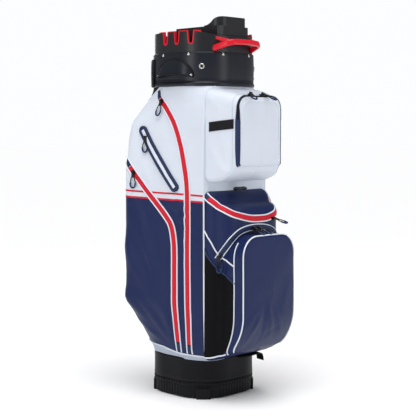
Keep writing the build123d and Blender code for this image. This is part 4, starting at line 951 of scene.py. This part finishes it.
# Ball pocket: pipings round its face and its gusset, and the arched zip above it
piping("ball_face_piping", np.vstack((face_path, mirrored(face_path)[-2::-1])), ball_shell, radius=1.5)
gusset_part = gusset_path[(gusset_path[:, 2] < 372) & (gusset_path[:, 0] < -60)]
piping("ball_gusset_piping_left", gusset_part, ball_shell, radius=1.5)
piping("ball_gusset_piping_right", mirrored(gusset_part), ball_shell, radius=1.5)
ARCH = ((-94, -139, 332), (-91, -150, 347), (-85, -161, 364), (-75, -169, 380), (-54, -172, 395), (-20, -172, 402))
arch_path = smooth_path(ARCH + tuple((-x, y, z) for x, y, z in ARCH[::-1]), 280)
strip("arch_zip_tape", arch_path, cooler_shell, tape_profile(5.0, 2.6), navy_tape, "navy_fabric")
for edge_name, offset in (("upper", -6.4), ("lower", 6.4)):
    piping(f"arch_zip_{edge_name}_edge", beside(arch_path, cooler_shell, offset), cooler_shell, radius=1.4)

# ---------------------------------------------------------------- rings round the bag


def square_outline(half, corner, count=360, span=(0.0, 1.0)):
    """A rounded square round the bag's axis with its outward directions: share 0 is the middle of the
    front, and it goes round by the left side. Corners are quarter circles."""
    flat = half - corner
    arc = corner * np.pi / 2
    lengths = np.array((flat, arc, 2 * flat, arc, 2 * flat, arc, 2 * flat, arc, flat))
    marks = np.concatenate(([0.0], np.cumsum(lengths)))
    run = np.linspace(*span, count, endpoint=span != (0.0, 1.0)) * marks[-1]
    piece = np.clip(np.searchsorted(marks, run, side="right") - 1, 0, 8)
    local = run - marks[piece]
    quarter = piece // 2
    heading = -np.pi / 2 - quarter * np.pi / 2
    turned = heading - np.where(piece % 2, local / corner, 0.0)
    normal = np.stack((np.cos(turned), np.sin(turned)), axis=-1)
    centres = np.array(((-flat, -flat), (-flat, flat), (flat, flat), (flat, -flat)))
    round_part = centres[quarter % 4] + corner * normal
    starts = np.array(((0.0, -half), (-half, -flat), (-flat, half), (half, flat), (flat, -half)))
    along = np.stack((np.sin(heading), -np.cos(heading)), axis=-1)
    straight = starts[quarter] + along * local[:, None]
    return np.where((piece % 2 == 1)[:, None], round_part, straight), normal


def ring(name, half, corner, profile, material, slot, count=360, span=(0.0, 1.0), rib=None):
    """A closed profile of (offset, height) carried round a rounded square. rib takes the number of points
    round it and gives an offset for each, added where the profile stands proud."""
    points, normal = square_outline(half, corner, count, span)
    offsets, heights = np.asarray(profile, float).T
    reach = np.broadcast_to(offsets[:, None], (len(offsets), len(points))).copy()
    if rib is not None:
        reach += rib(len(points))[None] * (offsets > 0.4)[:, None]
    plan = points[None] + normal[None] * reach[..., None]
    grid = np.concatenate((plan, np.broadcast_to(heights[:, None, None], plan.shape[:2] + (1,))), axis=-1)
    whole = span == (0.0, 1.0)
    if whole:
        grid = np.concatenate((grid, grid[:, :1]), axis=1)
    return new_piece(name, np.swapaxes(grid, 0, 1), material, wrap=True, capped=not whole)


def ring_wall(outline, bulge, levels, centre):
    """The shell of a ring's outside: its outline, pushed out by a bulge at each level."""
    points, out = outline
    plan = points + out * np.reshape(bulge, (-1, 1, 1))
    heights = np.broadcast_to(levels[:, None, None], (len(levels), len(points), 1))
    return shell_of(np.concatenate((np.broadcast_to(plan, heights.shape[:2] + (2,)), heights), axis=-1), centre)


def stitch_rows(name, outline, offset, heights, shell):
    """Rows of stitches round a ring, each at its own height."""
    for row_name, height in heights:
        loop = np.column_stack((outline[0] + outline[1] * offset, np.full(len(outline[0]), height)))
        stitches(f"{name}_{row_name}", loop, shell, thread_black, "collar_cover")


COLLAR_HALF, COLLAR_CORNER = 112, 88
BASE_HALF, BASE_CORNER = 106, 80
CUFF_LIFT = 2.1
collar_profile = (
    (-3, 734), (-1.5, 732), (0.8, 731.6), (1.9, 733.2), (2.1, 736), (1.9, 739), (1.0, 740.6), (0.1, 741.2), (0.5, 750),
    (0.9, 765), (1.0, 780), (0.7, 795), (0.3, 806), (-0.2, 810.5), (-1.2, 812), (-2.4, 811.8), (-3, 810), (-3, 770),
)
collar = ring("collar_cover", COLLAR_HALF, COLLAR_CORNER, collar_profile, collar_sheet, "collar_cover")
collar_points, collar_out = collar_outline = square_outline(COLLAR_HALF, COLLAR_CORNER, 720)
collar_levels = np.linspace(731, 812, 60)
bulge_offsets, bulge_heights = np.transpose(collar_profile[3:14])
collar_bulge = np.interp(collar_levels, bulge_heights, bulge_offsets)
collar_shell = ring_wall(collar_outline, collar_bulge, collar_levels, COLLAR_CENTRE)
stitch_rows(
    "collar_stitches", collar_outline, 0.5, (("foot", 743.5), ("binding", 736.5), ("head", 808.5)), collar_shell)

# The rear part of the collar is a second, thicker layer
yoke_profile = (
    (0, 734), (1.5, 732.6), (4.2, 732.8), (5.4, 735), (5.6, 745), (6.0, 765), (5.8, 785), (5.2, 796), (4.0, 799.4),
    (1.5, 799.8), (0, 799),
)
YOKE_SPAN = (0.335, 0.665)
yoke = ring(
    "collar_yoke_cover", COLLAR_HALF + 0.2, COLLAR_CORNER + 0.2, yoke_profile, black_cloth, "black_fabric",
    span=YOKE_SPAN, count=200)

# The stiff tube inside the cloth, with a slight barrel in its height
tube_profile = ((-1.5, 39), (1.3, 39), (1.6, 260), (1.6, 510), (1.3, 732), (-1.5, 732), (-1.3, 510), (-1.3, 260))
tube_lining = ring("tube_lining", 104, 78, tube_profile, lining, "divider_cloth", count=120)

# Base: the cuff, the flange and a ribbed foot ring
cuff_profile = (
    (-2, 39), (0.5, 38.2), (2.2, 38.6), (2.6, 41), (2.1, 52), (2.0, 70), (2.3, 86), (2.6, 91), (2.1, 94.6),
    (0.6, 95.6), (-2, 95),
)
cuff = ring("base_cuff", BASE_HALF, BASE_CORNER, cuff_profile, base_sheet, "collar_cover")


RIB_COUNT, RIB_DEPTH = 76, 1.3


def ribs(count):
    """Upright ribs: a wave round the ring, raised to a power so that the grooves are narrow."""
    turn = np.linspace(0, 2 * np.pi, count, endpoint=False)
    wave = 0.5 + 0.5 * np.cos(RIB_COUNT * turn)
    return -RIB_DEPTH * (1 - wave**0.4)


foot_profile = (
    (-8, 3), (-1.0, 2.2), (0.5, 3.2), (0.9, 6), (0.9, 26), (0.6, 28.5), (0.2, 29.4), (0.2, 29.8), (2.2, 30.4),
    (2.9, 32.4), (2.9, 35.6), (2.2, 37.6), (0.6, 38.4), (-8, 38.2),
)
foot_ring = ring(
    "base_foot_ring", BASE_HALF, BASE_CORNER, foot_profile, base_sheet, "black_plastic", count=1400, rib=ribs)
cuff_outline = square_outline(BASE_HALF, BASE_CORNER, 720)
cuff_shell = ring_wall(cuff_outline, CUFF_LIFT, np.linspace(38, 95, 30), BASE_CENTRE)
stitch_rows("cuff_stitches", cuff_outline, CUFF_LIFT, (("head", 88.5), ("foot", 44.0)), cuff_shell)

# ---------------------------------------------------------------- collar fittings


def collar_place(angle, height, reach=0.0):
    """The point at an angle about the axis on the collar's outside, and the outward direction there."""
    bearing = np.degrees(np.arctan2(collar_points[:, 1], collar_points[:, 0])) % 360
    index = np.argmin(np.abs((bearing - angle + 180) % 360 - 180))
    outward = np.append(collar_out[index], 0)
    bulge = np.interp(height, collar_levels, collar_bulge)
    return np.append(collar_points[index], height) + outward * (bulge + reach), outward


def turned(name, places, profile, material, slot, count=20):
    """Round fittings: a profile of (radius, height) turned about each place's outward direction, all in one
    mesh. The first and last profile points lie on the turning axis or close a bore."""
    radii, lifts = np.asarray(profile, float).T
    turn = np.linspace(0, 2 * np.pi, count, endpoint=False)
    grids = []
    for place, outward in places:
        side = unit(np.cross(outward, (0, 0, 1)))
        up = np.cross(side, outward)
        circle = side * np.cos(turn)[:, None] + up * np.sin(turn)[:, None]
        grids.append(place + radii[:, None, None] * circle[None] + lifts[:, None, None] * outward)
    points = np.array(grids)
    rows = len(radii)
    single = grid_faces(rows + 1, count, wrap=True) % (rows * count)
    faces = (single[None] + rows * count * np.arange(len(places))[:, None, None]).reshape(-1, 4)
    mesh = bpy.data.meshes.new(name)
    mesh.from_pydata((points.reshape(-1, 3) * MM).tolist(), [], faces.tolist())
    outward_faces(mesh, weld=True)
    return finished(name, mesh, material)


RIVET = ((0.01, 1.7), (1.2, 1.65), (2.2, 1.35), (3.0, 0.9), (3.5, 0.35), (3.6, -0.3), (0.01, -0.3))
EYELET = ((3.4, 0.4), (3.7, 1.2), (4.6, 1.7), (5.8, 1.5), (6.7, 0.8), (7.0, 0.0), (6.6, -0.3), (3.4, -0.3))
rivet_places = [collar_place(angle, 806.5) for angle in (12, 50, 90, 130, 168, 208, 248, 292, 332)]
eyelet_places = [collar_place(angle, 778) for angle in (223, 317)]
GRIP_REACH, GRIP_MIDDLE, GRIP_HALF_WIDTH, GRIP_FOOT, GRIP_HEAD = 11.0, -13.0, 54.0, 754.0, 796.0


def grip_flap(side):
    """A half-moon flap on the collar: s runs along it and q from its arched top to its open foot. It
    stands off the collar by q^0.7 (1 - s^6) of its reach, so that fingers go in from below."""
    s = np.linspace(-1, 1, 90)[None, :]
    q = np.linspace(0, 1, 34)[:, None]
    top = GRIP_FOOT + 4 + (GRIP_HEAD - GRIP_FOOT - 4) * (1 - np.abs(s) ** 2.3) ** 0.62
    foot = GRIP_FOOT + 6.5 * (1 - s**2)
    height = top + (foot - top) * q
    y = GRIP_MIDDLE + GRIP_HALF_WIDTH * s + 0 * q
    flat = COLLAR_HALF - COLLAR_CORNER
    beyond = np.maximum(np.abs(y) - flat, 0)
    x = -(flat + np.sqrt(COLLAR_CORNER**2 - beyond**2))
    tilt = beyond / COLLAR_CORNER
    normal = np.stack((-np.sqrt(1 - tilt**2), np.sign(y) * tilt, 0 * y), axis=-1)
    reach = 3.0 + (GRIP_REACH - 3.0) * q**0.7 * (1 - s**6)
    grid = np.stack((x, y, height), axis=-1) + normal * reach[..., None]
    if side == "right":
        grid = mirrored(grid)
    return grid


for side in ("left", "right"):
    flap = grip_flap(side)
    grip = new_piece(f"grip_flap_{side}", flap, collar_sheet, thickness=2.6, away_from=COLLAR_CENTRE)
    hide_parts(f"side_grip_{side}")
    rim_path = np.vstack((flap[::-1, 0], flap[0, 1:-1], flap[:, -1]))
    tube_along(f"grip_rim_{side}", evenly(rim_path, 160), 2.0, binding, up=(1, 0, 0.2))
    tube_along(f"grip_lip_{side}", evenly(flap[-1], 90), 2.2, binding)
    for end in (3, -4):
        place = flap[-5, end]
        outward = unit(place * (1, 1, 0))
        rivet_places.append((place + outward * 0.4, outward))
rivets = turned("collar_rivet_heads", rivet_places, RIVET, nickel, "nickel")
eyelets = turned("collar_eyelet_rings", eyelet_places, EYELET, nickel, "nickel", 28)

# ---------------------------------------------------------------- lift handle

HANDLE_HALF = (
    (-64, -88, 819), (-62, -100, 821.5), (-58, -117, 826.5), (-52, -132, 831), (-42, -139.5, 833.5),
    (-26, -141, 834.5), (0, -141.5, 835))
HANDLE_UP = np.array((0, 0.27, 0.96))
handle_path = smooth_path(HANDLE_HALF + tuple((-x, y, z) for x, y, z in HANDLE_HALF[-2::-1]), 140)


def handle_section(path, wide, tall, power=3.2, count=28):
    """A handle's skin: a superellipse, |sin|^(2/power), carried along the path and level with its slope."""
    along = unit(np.gradient(path, axis=0))
    up = unit(HANDLE_UP - along * (along @ HANDLE_UP)[:, None])
    side = np.cross(along, up)
    turn = np.linspace(0, 2 * np.pi, count, endpoint=False)
    across = np.sign(np.cos(turn)) * np.abs(np.cos(turn)) ** (2 / power)
    rise = np.sign(np.sin(turn)) * np.abs(np.sin(turn)) ** (2 / power)
    return (
        path[:, None] + side[:, None] * (across[None, :] * wide[:, None])[..., None]
        + up[:, None] * (rise[None, :] * tall[:, None])[..., None]
    )


place = np.linspace(-1, 1, 140)
handle_wide = 4.3 + 0.9 * np.exp(-((place / 0.3) ** 4))
handle_tall = 7.2 - 0.8 * np.exp(-((place / 0.35) ** 4))
handle = new_piece(
    "handle_loop", handle_section(handle_path, handle_wide, handle_tall), red_plastic,
    wrap=True, capped=True)
BRANCH = np.array(((-60, -88, 846.5), (-57, -104, 844), (-53, -122, 839), (-50, -134, 835.5)))
for side, flip in (("left", 1), ("right", -1)):
    branch_path = smooth_path(BRANCH * (flip, 1, 1), 40)
    branch = handle_section(branch_path, np.full(40, 2.8), np.linspace(3.0, 5.0, 40))
    new_piece(f"handle_branch_{side}", branch, red_plastic, wrap=True, capped=True)

# ---------------------------------------------------------------- back pad, strap and toggle


PAD_MIDDLE, PAD_HALF_HEIGHT, PAD_HALF_WIDTH, PAD_BACK = 420, 306, 27, 108.5


def pad_grid():
    """The back pad: a crowned strip, sqrt((1 - |s|^4)(1 - |u|^14)), with a narrow Gaussian dip at each
    quilting seam."""
    s = np.linspace(-1, 1, 44)[None, :]
    u = np.linspace(-1, 1, 260)[:, None]
    height = PAD_MIDDLE + PAD_HALF_HEIGHT * u + 0 * s
    dips = np.sum([np.exp(-(((height - seam) / 5.5) ** 2)) for seam in np.linspace(160, 690, 9)], axis=0)
    round_off = np.clip(1 - np.abs(s) ** 4, 0, 1) ** 0.5 * np.clip(1 - np.abs(u) ** 14, 0, 1) ** 0.5
    crown = 7.5 * round_off * (1 - 0.62 * dips)
    return np.stack((PAD_HALF_WIDTH * s + 0 * u, PAD_BACK + crown, height), axis=-1)


pad_centre = (0, 0, PAD_MIDDLE)
pad = new_piece("back_pad", pad_grid(), black_cloth, thickness=1.5, away_from=pad_centre)
pad_shell = shell_of(pad_grid(), pad_centre)
for side, x in (("left", -25.5), ("right", 25.5)):
    path = np.column_stack((np.full(200, x), np.full(200, 110.0), np.linspace(120, 722, 200)))
    piping(f"back_pad_piping_{side}", path, pad_shell, radius=1.6, material=binding, slot="black_fabric")

STRAP = (
    (-14, -121, 97.5), (10, -122, 96), (35, -122, 95.5), (56, -122, 95), (66, -122, 92), (69.5, -122, 84),
    (71, -122, 76))
strap_run = smooth_path(STRAP, 90)
strap_width = np.linspace(-10.5, 10.5, 12)
strap_grid = strap_run[:, None] + np.array((0, 1, 0)) * strap_width[None, :, None]
strap_grid[..., 2] += strap_width[None] * 0.39 * np.clip((80 - strap_run[:, :1]) / 60, 0, 1)
strap = new_piece(
    "base_strap_webbing", strap_grid, black_webbing, thickness=1.8, away_from=(30, -121, 140))

buckle_path = smooth_path(((-27, -129, 491), (-16, -130, 491.5), (0, -130, 491.5), (11, -129, 491)), 40)
buckle_girth = np.interp(np.linspace(0, 1, 40), (0, 0.06, 0.2, 0.5, 0.8, 0.94, 1), (3, 7.5, 8.5, 7.4, 8.5, 7.5, 3))
tube_along("lid_buckle", buckle_path, buckle_girth, black_plastic, count=20, squash=0.55)

# ---------------------------------------------------------------- pull cords

CORD_DIAMETER = 2.4
CORD_ROUTE = np.array((
    (2, 2.1), (8.5, 2.1), (18.5, 6.6), (28.5, 7.2), (36.5, 4.2),
    (37, -4), (29.5, -7.4), (19.5, -6.4), (9, -2.1), (2, -2.1),
))
# Where each loop leaves its slider, the way it hangs, and the direction that it faces
PULLS = {
    "front_zip_left": ((-120.88, 23.4, 698.64), (-0.3164, -0.0218, -0.9484), (-0.9461, -0.0652, 0.3171)),
    "rear_zip_left": ((-163.62, 75.57, 527.81), (0.0, 0.0, -1.0), (-0.9589, -0.2838, 0.0)),
    "diagonal_zip_left": ((-147.08, 49.13, 613.07), (-0.0677, -0.0173, -0.9976), (-0.9665, -0.2471, 0.0699)),
    "upper_left": ((-28.0, -182.14, 714.81), (-0.4458, -0.7924, -0.4163), (0.0, -0.4651, 0.8852)),
    "upper_right": ((12.0, -182.14, 714.81), (0.4458, -0.7924, -0.4163), (0.0, -0.4651, 0.8852)),
    "cooler": ((60.0, -176.87, 420.92), (0.1497, -0.9483, -0.2798), (0.0, -0.283, 0.9591)),
    "ball_left": ((-14.0, -180.84, 403.28), (-0.1203, -0.9325, -0.3406), (0.0, -0.3431, 0.9393)),
    "ball_right": ((2.0, -180.84, 403.28), (0.1203, -0.9325, -0.3406), (0.0, -0.3431, 0.9393)),
    "ball_side": ((-98.82, -149.03, 340.0), (0.0, 0.0, -1.0), (-0.988, -0.1544, 0.0)),
}
for pull_name in ("front_zip", "rear_zip", "diagonal_zip"):
    PULLS[f"{pull_name}_right"] = tuple(tuple(mirrored(value)) for value in PULLS[f"{pull_name}_left"])


def cord_curve(name, points):
    """A cord as one open NURBS spline with the route's points as its control points."""
    curve = bpy.data.curves.new(name, "CURVE")
    curve.dimensions = "3D"
    spline = curve.splines.new("NURBS")
    spline.points.add(len(points) - 1)
    spline.points.foreach_set("co", np.column_stack((points * MM, np.ones(len(points)))).ravel())
    spline.order_u = 3
    spline.use_endpoint_u = True
    spline.resolution_u = 10
    return linked(name, curve)


def spline_points(piece):
    """The points of a cord's own spline, in millimetres, read before the cord gets its thickness."""
    line = bpy.data.meshes.new_from_object(piece)
    points = np.empty(3 * len(line.vertices))
    line.vertices.foreach_get("co", points)
    bpy.data.meshes.remove(line)
    return points.reshape(-1, 3) / MM


KNOT_SHARES, KNOT_RADII = (0, 0.12, 0.3, 0.45, 0.6, 0.85, 1), (2.2, 3.4, 3.9, 3.3, 3.8, 3.3, 1.6)
knot_radius = np.interp(np.linspace(0, 1, 26), KNOT_SHARES, KNOT_RADII)
for pull_name, (origin, hang, outward) in PULLS.items():
    origin, hang, outward = np.array(origin), np.array(hang), np.array(outward)
    sideways = np.cross(outward, hang)
    route = origin + CORD_ROUTE[:, :1] * hang + CORD_ROUTE[:, 1:] * sideways
    body = f"zip_pull_{pull_name}"
    loop = cord_curve(f"pull_loop_{pull_name}", route)
    line = evenly(spline_points(loop), 90)
    loop.data.bevel_depth = CORD_DIAMETER / 2 * MM
    loop.data.bevel_resolution = 3
    loop.data.use_fill_caps = True
    loop.data.materials.append(cord_black)
    sleeve = tube_along(
        f"pull_sleeve_{pull_name}", line[27:63], 1.95, cord_rubber, body=body, up=outward)
    knot_path = origin + np.linspace(1.5, 13, 26)[:, None] * hang
    knot = tube_along(
        f"pull_knot_{pull_name}", knot_path, knot_radius, dark_metal, body=body, squash=0.62,
        up=outward)
    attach(loop, body)
    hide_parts(f"pull_{pull_name}")

# ---------------------------------------------------------------- what stands for what

for stand_in, cad_node in (
    (body_pieces["side_cloth_navy_left"], "side_pocket_left"),
    (body_pieces["side_cloth_navy_right"], "side_pocket_right"),
    (upper_piece, "upper_pocket"), (cooler_piece, "cooler_pocket"), (ball_piece, "ball_pocket"),
    (pad, "back_panel"), (yoke, "back_yoke"), (collar, "collar_shell"), (tube_lining, "body_tube"),
    (cuff, "base_band"), (foot_ring, "base_cup"), (rivets, "collar_rivets"), (eyelets, "collar_eyelets"),
    (handle, "lift_handle"), (strap, "base_strap"), (glove_patch, "glove_patch"),
    (bpy.data.objects["front_zip_left"], "side_zips_left"), (bpy.data.objects["front_zip_right"], "side_zips_right"),
    (bpy.data.objects["upper_zip_teeth"], "upper_zip"), (bpy.data.objects["cooler_zip_tape"], "cooler_zip"),
    (bpy.data.objects["arch_zip_tape"], "arch_zip"), (bpy.data.objects["mesh_pocket_cloth_left"], "mesh_pockets"),
):
    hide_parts(cad_node)

for node_name, node_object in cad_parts.items():
    material = dark_metal if node_name.startswith("slider_") else CAD_FINISHES.get(node_name, black_plastic)
    node_object.data.materials.clear()
    node_object.data.materials.append(material)

# ---------------------------------------------------------------- floor, light and camera


def area_light(name, place, aim, size, power):
    """A soft rectangular light at a place in metres, aimed at a point."""
    light = bpy.data.lights.new(name, "AREA")
    light.shape = "RECTANGLE"
    light.size, light.size_y = size
    light.energy = power
    lamp = linked(name, light)
    lamp.location = place
    direction = np.asarray(aim, float) - np.asarray(place, float)
    lamp.rotation_euler = Vector(direction).to_track_quat("-Z", "Y").to_euler()


area_light("left light", (-2.6, -0.2, 1.3), (0, 0, 0.45), (0.9, 1.9), 15)
area_light("front light", (0.9, -2.7, 1.1), (0, 0, 0.4), (1.0, 1.9), 12)
area_light("back light", (1.4, 2.2, 1.5), (0, 0, 0.5), (1.2, 1.6), 12)
overhead = linked("overhead light", bpy.data.lights.new("overhead light", "SUN"))
overhead.data.energy = 2.65
overhead.data.angle = 0.9
overhead.rotation_euler = (0.20, -0.16, 0)

world = bpy.data.worlds.new("studio")
world.use_nodes = True
background = world.node_tree.nodes["Background"]
background.inputs["Color"].default_value = (0.97, 0.985, 1, 1)
in_view = world.node_tree.nodes.new("ShaderNodeLightPath").outputs["Is Camera Ray"]
SKY_LIGHT, SKY_SEEN = 0.26, 1.0
extra = maths(world.node_tree, "MULTIPLY", in_view, SKY_SEEN - SKY_LIGHT)
brightness = maths(world.node_tree, "ADD", extra, SKY_LIGHT)
world.node_tree.links.new(brightness, background.inputs["Strength"])
bpy.context.scene.world = world
bpy.context.scene.view_settings.view_transform = "Standard"

floor_mesh = bpy.data.meshes.new("floor")
floor_mesh.from_pydata([(-30, -30, 0), (30, -30, 0), (30, 30, 0), (-30, 30, 0)], [], [(0, 1, 2, 3)])
floor = linked("floor", floor_mesh)
floor_mesh.materials.append(finish("pale floor", (0.92, 0.92, 0.925), (0.91, 0.91, 0.915), 0.9, gloss=0.0))

CAMERA_DISTANCE, CAMERA_HEIGHT = 2.6, 0.629
camera_data = bpy.data.cameras.new("camera")
camera_data.lens = 92.0
camera_data.sensor_width = 36.0
camera_data.shift_x = 0.0108
camera_data.shift_y = -0.1875
camera = linked("camera", camera_data)
camera.location = (-CAMERA_DISTANCE * np.sqrt(0.5), -CAMERA_DISTANCE * np.sqrt(0.5), CAMERA_HEIGHT)
camera.rotation_euler = (np.pi / 2, 0, -np.pi / 4)
bpy.context.scene.camera = camera
